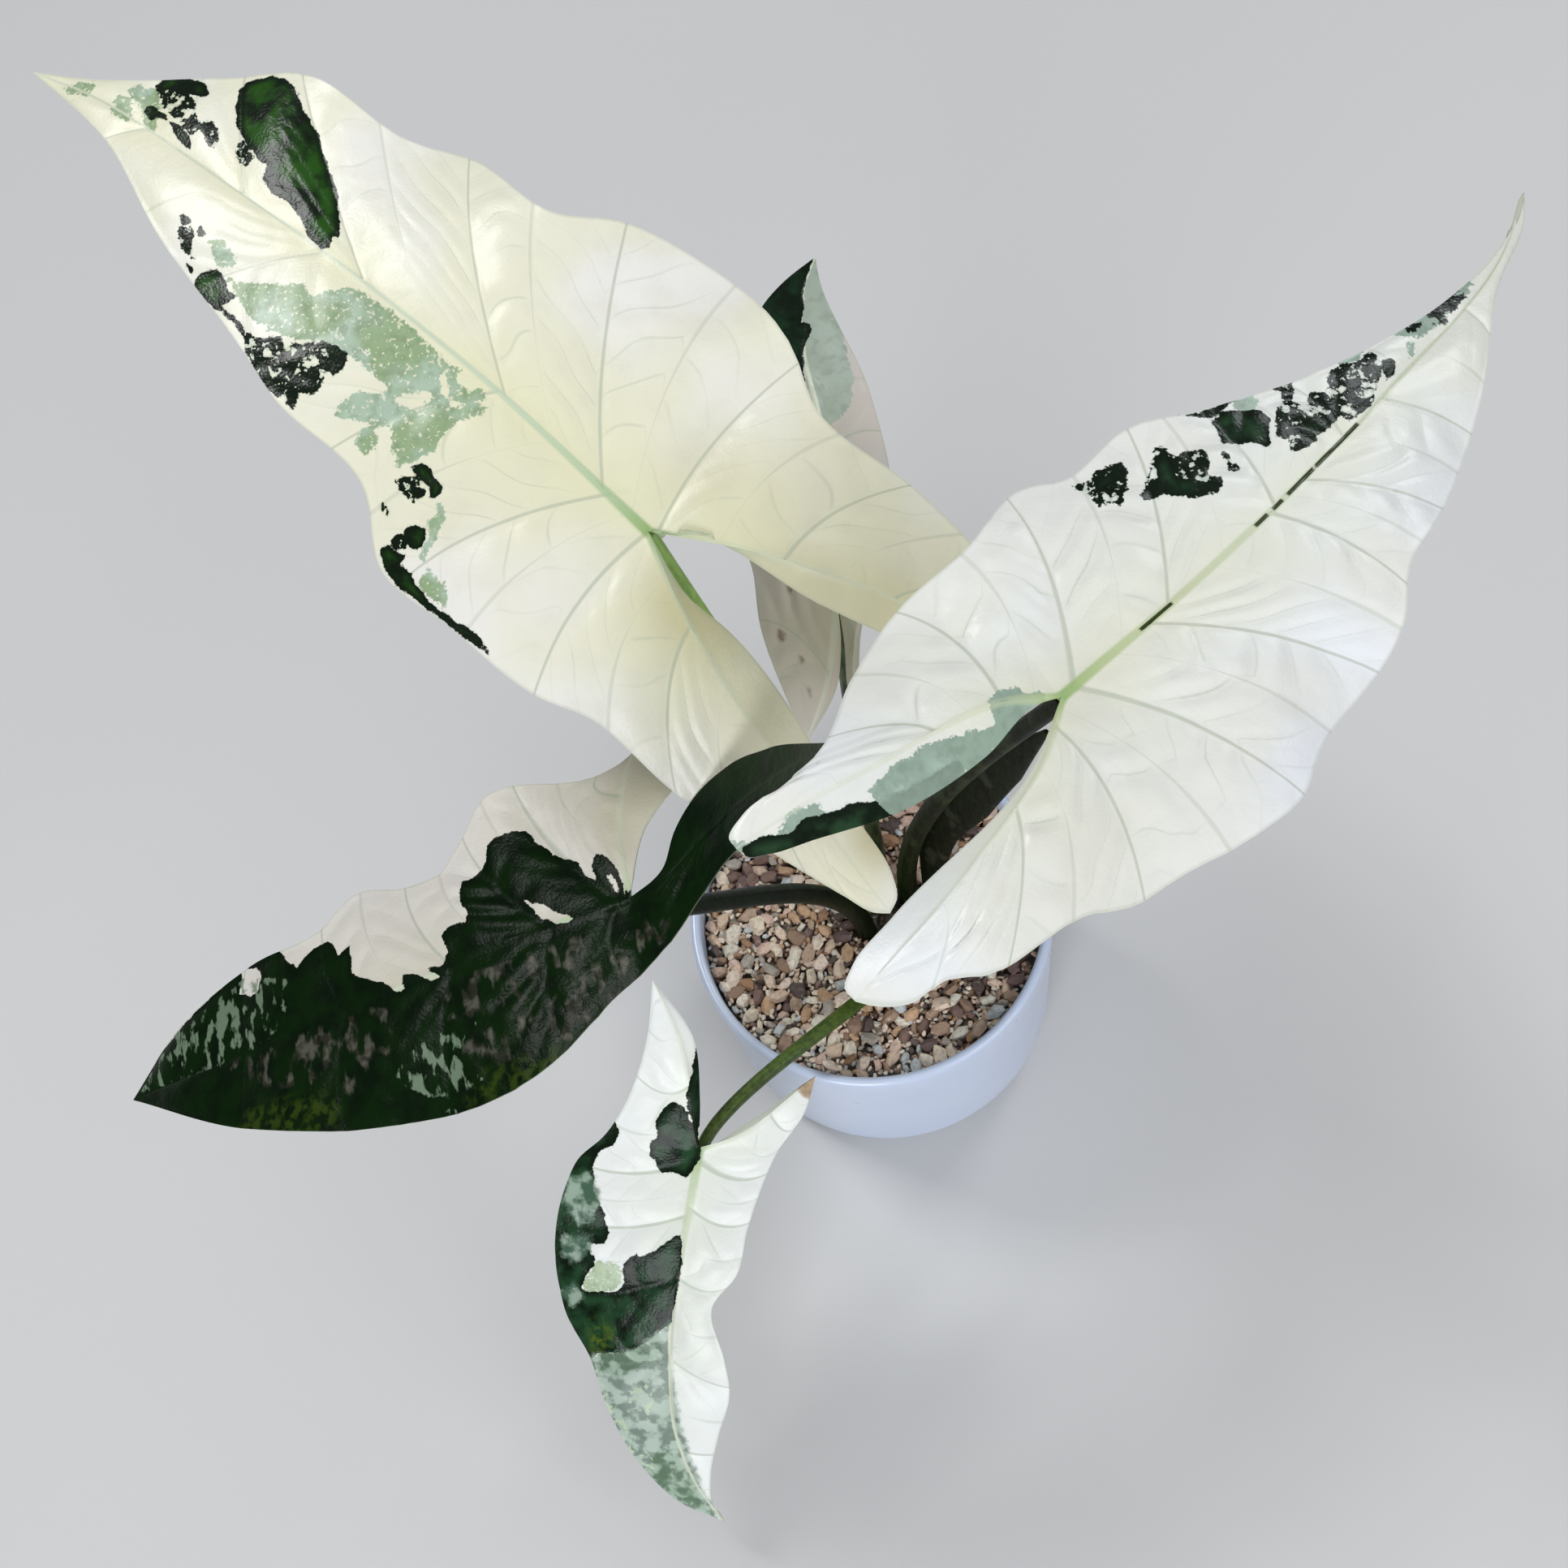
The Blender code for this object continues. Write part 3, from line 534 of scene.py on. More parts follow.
# Patches of colour, as outlines in each blade's own plane: along the midrib and across it.
UPPER_LEFT_COATS = {
    Coat.DARK: [
        [(178, -33), (172, -39), (167, -40), (160, -39), (162, -39), (156, -36), (148, -33), (140, -28),
         (131, -23), (126, -18), (120, -12), (122, -12), (121, -8), (124, -7), (129, -8), (135, -11),
         (141, -12), (146, -11), (151, -13), (153, -17), (156, -17), (162, -18), (167, -20), (171, -22),
         (174, -25), (178, -30)],
        [(202, -17), (201, -21), (199, -23), (193, -25), (189, -26), (184, -24), (186, -22), (190, -21),
         (190, -19), (196, -19), (199, -17)],
        [(199, -9), (199, -12), (195, -12), (191, -12), (189, -11), (193, -10), (195, -8)],
        [(189, -11), (186, -12), (180, -11), (178, -10), (177, -8), (181, -8), (185, -9)],
        [(165, 9), (164, 8), (161, 8), (160, 9), (162, 11)],
        [(157, 10), (157, 8), (154, 9), (155, 11)],
        [(154, 19), (152, 18), (150, 20), (151, 20)],
        [(149, 21), (148, 18), (145, 15), (142, 15), (139, 17), (134, 18), (135, 20), (136, 22),
         (127, 23), (121, 26), (123, 26), (129, 24), (137, 24), (142, 24), (147, 23)],
        [(119, 28), (115, 27), (110, 29), (105, 32), (106, 33), (112, 31)],
        [(101, 14), (100, 12), (95, 12), (94, 16), (95, 20), (98, 18)],
        [(103, 31), (101, 29), (99, 31), (100, 33)],
        [(62, 27), (62, 25), (60, 23), (57, 23), (55, 24), (52, 24), (51, 25), (51, 29), (53, 29),
         (54, 27), (58, 27), (60, 26)],
        [(64, 38), (62, 38), (60, 39), (60, 40), (63, 40)],
        [(55, 40), (52, 37), (49, 36), (48, 38), (47, 41), (49, 43), (52, 42)],
        [(58, 48), (56, 46), (53, 46), (50, 45), (50, 48), (46, 48), (44, 46), (44, 49), (38, 51),
         (35, 51), (28, 51), (22, 50), (15, 51), (13, 52), (14, 53), (22, 53), (28, 53), (34, 53),
         (39, 53), (48, 53), (53, 52), (56, 50)]],
    Coat.MOTTLE: [
        [(166, -17), (165, -19), (158, -17), (158, -13), (161, -13), (165, -15)],
        [(201, -17), (192, -21), (187, -20), (181, -16), (178, -14), (179, -11), (186, -12), (193, -13)],
        [(179, -15), (179, -18), (176, -18), (173, -16), (171, -15), (170, -12), (174, -12)],
        [(163, 12), (159, 10), (157, 11), (157, 13), (151, 16), (153, 17), (158, 16)],
        [(125, 24), (119, 23), (116, 19), (112, 20), (107, 16), (103, 13), (97, 12), (95, 12), (94, 16),
         (95, 19), (97, 20), (96, 24), (97, 27), (101, 28), (99, 30), (99, 33), (103, 33), (109, 33),
         (115, 31), (122, 28)],
        [(64, 31), (62, 29), (59, 26), (55, 27), (54, 29), (56, 33), (58, 33), (62, 32)],
        [(56, 44), (55, 41), (52, 41), (51, 44), (54, 46)]],
    Coat.SAGE: [
        [(228, -1), (225, -5), (218, -8), (219, -3), (224, -1)],
        [(209, -6), (209, -9), (206, -10), (201, -7), (200, -4), (204, -3), (207, -3)],
        [(208, -11), (206, -15), (201, -17), (196, -14), (192, -9), (191, -6), (193, -5), (202, -10)],
        [(152, 10), (150, 8), (145, 8), (141, 9), (141, 12), (146, 14)],
        [(140, 15), (130, 11), (120, 4), (116, 5), (113, 3), (109, -2), (105, -4), (95, -5), (83, -4),
         (72, -3), (71, 1), (69, 4), (63, 6), (58, 1), (55, 0), (55, 3), (60, 9), (60, 14), (59, 18),
         (61, 22), (63, 25), (65, 28), (68, 26), (73, 21), (77, 22), (88, 28), (89, 24), (87, 19),
         (81, 15), (81, 13), (87, 12), (95, 12), (103, 13), (112, 18), (120, 20), (126, 20), (133, 18)],
        [(72, -3), (68, -4), (67, 0), (63, 0), (60, -3), (57, -1), (60, 3), (65, 4), (69, 1)],
        [(79, 30), (80, 26), (78, 24), (74, 25), (74, 28), (75, 31), (78, 30)],
        [(52, 29), (49, 28), (46, 31), (45, 36), (45, 43), (47, 43), (47, 38), (49, 35), (49, 31)],
        [(45, 49), (41, 45), (37, 44), (33, 46), (32, 50), (36, 50), (41, 50)]],
    Coat.CLEAR: [[(77, 14), (76, 11), (73, 9), (71, 6), (69, 8), (70, 12), (73, 14)]],
}
RIGHT_COATS = {
    Coat.DARK: [
        [(54, 30), (58, 29), (63, 28), (60, 24), (57, 26), (54, 27), (50, 24), (49, 25), (52, 28)],
        [(56, 17), (60, 19), (64, 18), (67, 21), (72, 21), (69, 17), (67, 14), (69, 10), (72, 5), (70, 3),
         (64, 8), (61, 14)],
        [(82, 26), (87, 21), (92, 19), (98, 18), (100, 17), (98, 16), (94, 17), (90, 17), (87, 19)],
        [(87, 17), (91, 17), (95, 13), (98, 10), (97, 6), (94, 4), (90, 1), (88, 5), (86, 8), (83, 11),
         (85, 14)],
        [(96, -4), (99, -2), (104, -1), (106, -3), (110, -5), (114, -5), (111, -7), (105, -7), (98, -6)],
        [(133, -5), (136, -7), (135, -9), (132, -10), (129, -10), (131, -7)],
        [(165, -5), (168, -6), (167, -8), (164, -7)],
        [(-80, 35), (-77, 34), (-73, 31), (-70, 28), (-65, 28), (-60, 24), (-55, 22), (-50, 18),
         (-50, 12), (-59, 12), (-68, 18), (-77, 24), (-82, 31)]],
    Coat.MOTTLE: [
        [(50, 34), (52, 33), (53, 31), (57, 32), (59, 30), (63, 28), (61, 25), (57, 22), (55, 22),
         (53, 20), (51, 21), (50, 24), (48, 25), (50, 28)],
        [(56, 17), (60, 20), (63, 20), (67, 22), (71, 24), (73, 22), (71, 18), (74, 17), (78, 14),
         (76, 10), (72, 8), (74, 5), (71, 3), (68, 4), (64, 7), (63, 11), (60, 15)],
        [(80, 10), (81, 8), (80, 4), (79, 3), (77, 5), (79, 7)],
        [(93, 2), (98, 5), (103, 7), (106, 5), (107, 2), (112, 3), (114, 1), (114, -2), (118, 2),
         (122, 3), (126, 2), (129, -1), (135, -1), (133, -6), (129, -8), (121, -11), (116, -11),
         (111, -10), (111, -7), (106, -7), (99, -7), (95, -6), (91, -4), (95, -2)],
        [(105, 13), (109, 12), (115, 11), (112, 9), (109, 6), (104, 5), (103, 6), (107, 9)],
        [(157, -5), (165, -4), (168, -5), (173, -7), (171, -10), (164, -10), (159, -11), (155, -9)],
        [(148, -3), (151, -4), (154, -6), (150, -7), (147, -6)]],
    Coat.SAGE: [
        [(95, 16), (100, 17), (101, 14), (100, 11), (97, 10), (94, 13)],
        [(124, 4), (128, 4), (133, 3), (135, 0), (130, -1), (126, 1)],
        [(143, 4), (149, 3), (158, 1), (168, -2), (177, -5), (177, -9), (172, -10), (163, -10),
         (155, -10), (148, -8), (144, -4), (142, 0)],
        [(144, -7), (146, -9), (142, -11), (140, -10)],
        [(-12, 13), (-8, 13), (-5, 11), (-5, 8), (-2, 5), (-3, 1), (-11, 3), (-20, 4), (-28, 4), (-36, 5),
         (-43, 9), (-50, 12), (-55, 15), (-56, 19), (-50, 18), (-50, 21), (-45, 20), (-40, 20),
         (-35, 18), (-32, 18), (-27, 15), (-23, 13), (-19, 10), (-15, 8), (-14, 11)],
        [(-74, 31), (-70, 31), (-67, 31), (-64, 30), (-61, 28), (-61, 24), (-64, 24), (-68, 26),
         (-73, 28)],
        [(-81, 38), (-78, 35), (-76, 33), (-74, 31), (-72, 27), (-76, 29), (-80, 33), (-82, 37)]],
    Coat.DEEP: [
        [(-57, 18), (-49, 17), (-41, 14), (-36, 12), (-29, 10), (-28, 9), (-29, 7), (-33, 6), (-39, 7),
         (-47, 11), (-53, 13), (-56, 15)]],
}
BACK_COATS = {
    Coat.DARK: [
        [(118, 0), (110, 2), (104, 4), (98, 4), (90, 5), (88, 2), (86, 2), (82, 4), (77, 5), (66, 5),
         (60, 10), (66, 40), (98, 30), (119, 8)]],
    Coat.SAGE: [
        [(118, 0), (110, 2), (104, 4), (98, 4), (90, 5), (82, 4), (77, 5), (66, 4), (40, 4), (53, -3),
         (55, -5), (58, -8), (59, -9), (70, -10), (76, -9), (82, -8), (89, -8), (101, -5), (109, -3)]],
    Coat.SPOT: [
        [(5, 15), (6, 14), (4, 13), (3, 14)],
        [(-8, 19), (-7, 18), (-9, 16), (-11, 17), (-11, 18)],
        [(-16, 13), (-16, 12), (-17, 11), (-18, 12)],
        [(-25, 11), (-26, 10), (-28, 10)]],
}
LOWER_LEFT_COATS = {
    Coat.DARK: [
        [(190, 1), (149, -18), (132, -24), (118, -26), (112, -18), (108, -14), (105, -17), (101, -19),
         (97, -19), (94, -16), (93, -13), (89, -14), (88, -10), (88, -5), (84, -2), (78, 1), (74, 5),
         (71, 6), (71, 1), (67, 2), (61, 6), (58, 6), (63, 2), (58, 2), (56, -1), (57, -7), (54, -8),
         (49, -8), (48, -11), (50, -14), (50, -18), (49, -21), (45, -21), (43, -23), (41, -25),
         (41, -29), (39, -31), (35, -32), (29, -31), (27, -28), (24, -24), (19, -19), (15, -17),
         (12, -11), (9, -9), (10, -13), (9, -17), (6, -16), (3, -11), (2, -7), (1, -1), (-2, -4), (-8, -9),
         (-16, -19), (-24, -29), (-100, -40), (-100, 74), (190, 74)]],
    Coat.SAGE: [
        [(131, -13), (124, -13), (116, -12), (114, -9), (118, -8), (126, -10)],
        [(116, -3), (111, 0), (105, 4), (100, 7), (104, 6), (110, 3), (115, 1)],
        [(103, -3), (99, -3), (95, 1), (92, 1), (94, 3), (99, 2)],
        [(100, 17), (98, 14), (92, 12), (86, 12), (88, 15), (94, 17)],
        [(22, 11), (20, 10), (17, 10), (18, 14), (21, 14)]],
    Coat.FLECKS: [
        [(178, -1), (160, -13), (131, -20), (112, -12), (111, -4), (118, 2), (125, 6), (145, 4), (168, 1)],
        [(71, 25), (64, 23), (56, 21), (48, 23), (54, 28), (60, 29), (68, 28)],
        [(76, 31), (73, 27), (67, 26), (57, 30), (48, 40), (59, 41), (67, 39)],
        [(62, 44), (52, 47), (45, 51), (47, 52), (60, 47)]],
    Coat.SILVER: [
        [(66, 12), (55, 10), (44, 8), (21, 8), (8, 6), (12, 12), (20, 17), (35, 22), (45, 21), (61, 19)],
        [(140, 5), (110, 7), (84, 8), (70, 12), (76, 22), (92, 30), (112, 22), (135, 12)],
        [(24, 24), (6, 14), (-10, 2), (-20, 6), (0, 24), (20, 36), (40, 38), (56, 28)]],
    Coat.GLOW: [
        [(56, 44), (48, 38), (37, 38), (22, 38), (18, 41), (25, 45), (37, 46), (50, 46)],
        [(130, 22), (110, 26), (96, 30), (98, 40), (120, 36), (134, 28)]],
    Coat.CLEAR: [
        [(32, -10), (29, -8), (25, -6), (22, -3), (20, -1), (16, 1), (18, 2), (22, 1), (26, -2), (29, -6)],
        [(6, -9), (4, -9), (3, -5), (3, -3), (4, -4)],
        [(132, -24), (125, -21), (123, -17), (125, -13), (128, -13), (133, -16)]],
}
FRONT_COATS = {
    Coat.DARK: [
        [(-15, -10), (-16, -7), (-15, -5), (-12, -3), (-8, -2), (-7, 0), (-2, 0), (1, 1), (4, 0), (8, -3),
         (10, -4), (9, -7), (8, -10), (8, -13), (6, -14), (4, -15), (3, -17), (-1, -16), (-3, -16),
         (-4, -13), (-8, -14), (-12, -12)],
        [(-36, 1), (-32, 3), (-21, 4), (-6, 1), (-8, -1), (-14, -3), (-19, -3), (-25, -1), (-31, 0)],
        [(-12, -28), (-5, -26), (-1, -28), (0, -31), (1, -33), (2, -38), (-5, -32)],
        [(1, -33), (5, -35), (7, -36), (10, -35), (14, -36), (18, -34), (22, -32), (25, -32), (28, -31),
         (32, -32), (32, -38), (35, -38), (36, -36), (40, -37), (44, -40), (49, -42), (50, -40),
         (49, -30), (46, -27), (39, -27), (36, -24), (35, -22), (36, -21), (34, -16), (30, -11),
         (28, -7), (39, -7), (59, -12), (66, -20), (70, -26), (72, -38), (74, -40), (66, -56),
         (24, -58), (2, -48)]],
    Coat.SAGE: [
        [(40, -37), (38, -35), (38, -31), (39, -28), (44, -27), (49, -30), (50, -35), (50, -40), (49, -42),
         (44, -40)]],
    # On the front leaf the SILVER patches are partly the leaf's own mint marbling and partly painted reflection,
    # grey-blue highlights on glossy pillows.
    Coat.SILVER: [
        [(74, -42), (72, -38), (70, -26), (59, -12), (77, -13), (99, -11), (112, -9), (137, -2),
         (133, -12), (123, -27), (100, -37)],
        [(8, -37), (14, -33), (22, -35), (26, -41), (18, -46), (10, -44)],
        [(30, -37), (36, -39), (40, -44), (36, -48), (29, -46)],
        [(47, -44), (52, -41), (56, -46), (51, -50)]],
    Coat.DEEP: [
        [(106, -19), (109, -15), (116, -11), (126, -8), (134, -5), (130, -13), (124, -22), (115, -24)],
        [(72, -38), (70, -26), (62, -16), (70, -16), (80, -30), (78, -38)]],
    Coat.FLECKS: [
        [(84, -28), (82, -24), (82, -21), (87, -19), (93, -21), (95, -25), (91, -28)],
        [(74, -44), (77, -38), (87, -35), (98, -30), (109, -24), (117, -20), (118, -26), (103, -36),
         (89, -42)]],
    Coat.GLOW: [[(61, -40), (60, -36), (63, -33), (67, -33), (71, -36), (70, -40)]],
    Coat.DRY: [[(-25, 30), (-30, 38), (-27, 45), (-20, 42), (-14, 39), (-17, 34)]],
}


@dataclass(frozen=True)
class TintAndPaintedShade:
    """A soft round patch of warm olive tint on a blade: partly the leaf's own yellowing, partly painted shade and
    painted light shining through the leaf.
    """

    along: float
    across: float
    reach: float
    depth: float


@dataclass(frozen=True)
class LeafFinish:
    """The finish of one blade: pale ground, coloured patches, veins and a waxy sheen, with painted shade in its warm
    tint and painted reflection in some silver patches.
    """

    name: str
    pale: Colour = (0.82, 0.81, 0.71)
    cool: Colour = (0.87, 0.86, 0.84)
    ivory: Colour = (0.78, 0.77, 0.55)
    # the colour of the warm olive tint: partly the leaf's own yellowing, partly painted shade and painted light
    # shining through
    tint_and_painted_shade: Colour = (0.42, 0.37, 0.14)
    vein: Colour = (0.40, 0.45, 0.34)
    rib: Colour = (0.44, 0.58, 0.37)
    rib_end: Colour = (0.66, 0.70, 0.56)
    rib_root: Colour = (0.26, 0.42, 0.13)
    dark: Colour = (0.003, 0.009, 0.003)
    dark_light: Colour = (0.018, 0.075, 0.007)
    sage: Colour = (0.29, 0.40, 0.22)
    sage_pale: Colour = (0.41, 0.53, 0.41)
    silver: Colour = (0.11, 0.13, 0.10)
    silver_pale: Colour = (0.22, 0.25, 0.20)
    silver_from: float = 0.47
    streak: Point = (1.0, 1.0, 1.0)
    grain: float = 0.25
    sheen: float = 0.27
    dark_sheen: float = 0.16
    gloss: float = 0.2
    wax: float = 0.25
    glow: float = 0.25
    fringe: float = 0.5
    sage_flecks: float = 0.06
    fleck_share: float = 0.9

    def ragged(self, paint: Paint, coat: Coat, loose: float, fine: float, soft: float) -> bpy.types.NodeSocket:
        """Return a coat's cover, with a ragged edge.

        Args:
            paint: The material's tree.
            coat: The coat, whose depth the mesh keeps for each point.
            loose: How far its edge wanders, in millimetres.
            fine: How far its edge frays, in millimetres.
            soft: Half the width of its edge, in millimetres.

        Returns:
            A share from 0 to 1.
        """
        wander = paint.math("MULTIPLY_ADD", paint.noise(3.4), 2 * loose, -loose)
        fray = paint.math("MULTIPLY_ADD", paint.noise(0.9, 3.0), 2 * fine, -fine)
        depth = paint.math("ADD", paint.noted(coat.value), wander)
        return paint.step(paint.math("ADD", depth, fray), -soft, soft)

    def ground(self, paint: Paint) -> bpy.types.NodeSocket:
        """Return the colour of the pale parts, with their veins and their warm tint, which is partly painted shade
        and painted light shining through.
        """
        tone = paint.mix(paint.step(paint.noise(46.0, 1.0), 0.4, 0.62), self.pale, self.cool)
        tone = paint.mix(paint.math("MULTIPLY", paint.noted("middle"), 0.85), tone, self.ivory)
        cloud = paint.math("MULTIPLY", paint.step(paint.noise(9.0, 4.0), 0.42, 0.8), 0.35)
        tone = paint.mix(cloud, tone, tuple(c * 0.86 for c in self.pale))
        # warm olive tint: partly the leaf's own yellowing, partly painted shade and painted light shining through the
        # leaf
        tone = paint.mix(paint.noted("tint_and_painted_shade"), tone, self.tint_and_painted_shade)
        fold = paint.math("ABSOLUTE", paint.math("SINE", paint.math("MULTIPLY", paint.noted("phase"), math.pi)))
        crease = paint.math("MULTIPLY", paint.step(fold, 0.2, 0.0), paint.noted("crease"))
        tone = paint.mix(paint.math("MULTIPLY", crease, 0.3), tone, self.vein)
        for line, width, strength in (("off_seam", 0.9, 0.28), ("off_vein", 1.0, 0.55), ("rim", 0.9, 0.3)):
            share = paint.math("MULTIPLY", paint.step(paint.noted(line), width, 0.25), strength)
            tone = paint.mix(share, tone, self.vein)
        return tone

    def dress(self) -> bpy.types.Material:
        """Return the material."""
        paint = Paint(self.name)
        colour = self.ground(paint)
        near_rib = paint.step(paint.noted("off_rib"), 11.0, 2.0)
        speck = paint.math("MULTIPLY_ADD", paint.math("MULTIPLY_ADD", near_rib, 0.6, 0.4), self.sage_flecks,
                           paint.noise(1.2, 4.0))
        sage = self.ragged(paint, Coat.SAGE, 1.6, 1.3, 0.25)
        sage = paint.math("MULTIPLY", sage, paint.blend(paint.step(speck, 0.66, 0.62), 0.25, 1.0))
        mint = paint.math("MULTIPLY", paint.step(paint.noise(15.0, 4.0), 0.40, 0.58),
                          paint.math("MULTIPLY_ADD", near_rib, -0.8, 1.0))
        sage_tone = paint.mix(mint, self.sage, self.sage_pale)
        sage_tone = paint.mix(paint.math("MULTIPLY", paint.step(paint.noise(3.0, 5.0), 0.45, 0.7), 0.5), sage_tone,
                              tuple(0.7 * c for c in self.sage))
        colour = paint.mix(sage, colour, sage_tone)
        silver = self.ragged(paint, Coat.SILVER, 2.0, 1.0, 1.2)
        dark = self.ragged(paint, Coat.DARK, 0.9, 0.5, 0.14)
        blotch = paint.noise(3.4, 5.0)
        mottled = self.ragged(paint, Coat.MOTTLE, 1.4, 0.9, 0.2)
        fringe = paint.math("MULTIPLY", mottled, paint.step(blotch, 0.34, 0.38))
        broken = paint.math("MULTIPLY", paint.step(blotch, 0.41, 0.43), paint.step(paint.noise(1.5, 3.0), 0.36, 0.39))
        cover = paint.math("MAXIMUM", dark, paint.math("MULTIPLY", mottled, broken))
        fringe = paint.math("MAXIMUM", fringe, self.ragged(paint, Coat.DARK, 0.9, 0.9, 0.8))
        colour = paint.mix(paint.math("MULTIPLY", fringe, self.fringe), colour, sage_tone)
        lit = paint.math("MULTIPLY", paint.step(paint.noise(8.0, 3.0), 0.36, 0.62),
                         paint.step(paint.noted(Coat.DARK.value), 0.2, 3.0))
        dark_tone = paint.mix(lit, self.dark, self.dark_light)
        marble = paint.math("MULTIPLY", silver, paint.step(paint.noise(4.0, 5.0, stretch=self.streak),
                                                           self.silver_from, self.silver_from + 0.13))
        deep = self.ragged(paint, Coat.DEEP, 1.0, 0.5, 0.5)
        deep_tone = paint.mix(paint.noise(3.0, 3.0), tuple(c * 0.55 for c in self.sage), self.sage)
        colour = paint.mix(deep, colour, deep_tone)
        colour = paint.mix(cover, colour, dark_tone)
        # silver marbling; on the front leaf partly painted reflection, grey-blue highlights on glossy pillows
        silver_tone = paint.mix(paint.step(paint.noise(5.0, 5.0), 0.42, 0.58), self.silver, self.silver_pale)
        colour = paint.mix(paint.math("MULTIPLY", marble, 0.85), colour, silver_tone)
        flecks = self.ragged(paint, Coat.FLECKS, 1.6, 0.8, 0.3)
        specks = paint.math("MULTIPLY", paint.step(paint.noise(2.6, 5.0, stretch=self.streak), 0.51, 0.59),
                            self.fleck_share)
        colour = paint.mix(paint.math("MULTIPLY", flecks, specks), colour, self.sage_pale)
        glow = paint.math("MULTIPLY", self.ragged(paint, Coat.GLOW, 1.5, 0.8, 3.0),
                          paint.math("MULTIPLY", paint.step(paint.noise(3.0, 4.0), 0.42, 0.62), self.glow))
        colour = paint.mix(glow, colour, (0.10, 0.16, 0.015))
        rib_tone = paint.mix(paint.math("POWER", paint.noted("stem"), 3.0), self.rib_end, self.rib)
        rib_tone = paint.mix(paint.math("POWER", paint.noted("stem"), 20.0), rib_tone, self.rib_root)
        rib = paint.math("MULTIPLY", paint.step(paint.noted("ribbon"), 0.0, 0.6), paint.noted("ribbing"))
        rib = paint.math("MULTIPLY", rib, paint.math("MULTIPLY_ADD", cover, -0.9, 0.9))
        colour = paint.mix(rib, colour, rib_tone)
        dash = paint.math("MULTIPLY", paint.step(paint.noted("dash"), -0.4, 0.4),
                          paint.step(paint.noted("off_rib"), 0.75, 0.45))
        colour = paint.mix(dash, colour, (0.03, 0.045, 0.01))
        spot = self.ragged(paint, Coat.SPOT, 0.5, 0.5, 0.9)
        colour = paint.mix(paint.math("MULTIPLY", spot, 0.8), colour, (0.13, 0.07, 0.035))
        dry = self.ragged(paint, Coat.DRY, 1.0, 0.5, 0.8)
        dry_tone = paint.mix(paint.noise(1.6, 3.0), (0.55, 0.44, 0.30), (0.26, 0.16, 0.09))
        colour = paint.mix(dry, colour, dry_tone)
        under = paint.math("MULTIPLY", paint.noted("under"), 0.35)
        colour = paint.mix(under, colour, (0.42, 0.47, 0.34))
        rough = paint.math("MULTIPLY_ADD", paint.noise(5.0, 3.0), 0.12,
                           paint.blend(cover, self.sheen, self.dark_sheen))
        height = paint.math("ADD", paint.math("MULTIPLY", paint.noise(0.8, 2.0), 0.5),
                            paint.math("MULTIPLY", paint.noise(3.2, 2.0), 1.2))
        paint.bump(height, self.grain, 0.5)
        wax = paint.math("MULTIPLY_ADD", cover, -self.wax, self.wax)
        return paint.finish(Base_Color=colour, Roughness=rough, Specular_IOR_Level=self.gloss,
                            Coat_Weight=wax, Coat_Roughness=self.sheen)


@dataclass(frozen=True)
class StalkFinish:
    """The finish of a stalk: green, streaked and marbled along its length."""

    name: str
    green: Colour
    shade: Colour
    streak: Colour
    marble: float = 0.5
    sheen: float = 0.3
    gloss: float = 0.5

    def dress(self) -> bpy.types.Material:
        """Return the material."""
        paint = Paint(self.name)
        streaks = paint.noise(2.0, 4.0, stretch=(1.0, 1.0, 0.16))
        bands = paint.noise(7.0, 3.0, stretch=(1.0, 1.0, 0.5))
        colour = paint.mix(paint.step(streaks, 0.38, 0.66), self.green, self.shade)
        marbling = paint.math("MULTIPLY", paint.step(bands, 0.55, 0.66), self.marble)
        colour = paint.mix(marbling, colour, self.streak)
        rough = paint.math("MULTIPLY_ADD", paint.noise(3.0, 2.0), 0.2, self.sheen)
        paint.bump(paint.noise(0.9, 3.0, stretch=(1.0, 1.0, 0.12)), 0.25, 0.6)
        return paint.finish(Base_Color=colour, Roughness=rough, Specular_IOR_Level=self.gloss)


@dataclass(frozen=True)
class GlazeFinish:
    """The finish of the pot: a smooth, cool white glaze."""

    name: str = "cool_white_glaze"
    white: Colour = (0.51, 0.60, 0.80)
    pale: Colour = (0.61, 0.69, 0.84)
    sheen: float = 0.24

    def dress(self) -> bpy.types.Material:
        """Return the material."""
        paint = Paint(self.name)
        colour = paint.mix(paint.noise(30.0, 2.0), self.white, self.pale)
        pin = paint.math("MULTIPLY", paint.step(paint.cells(3.2), 0.05, 0.02), 0.12)
        colour = paint.mix(pin, colour, (0.35, 0.36, 0.42))
        rough = paint.math("MULTIPLY_ADD", paint.noise(12.0, 3.0), 0.12, self.sheen)
        paint.bump(paint.noise(4.0, 2.0), 0.12, 0.35)
        return paint.finish(Base_Color=colour, Roughness=rough, Coat_Weight=0.35, Coat_Roughness=0.12)


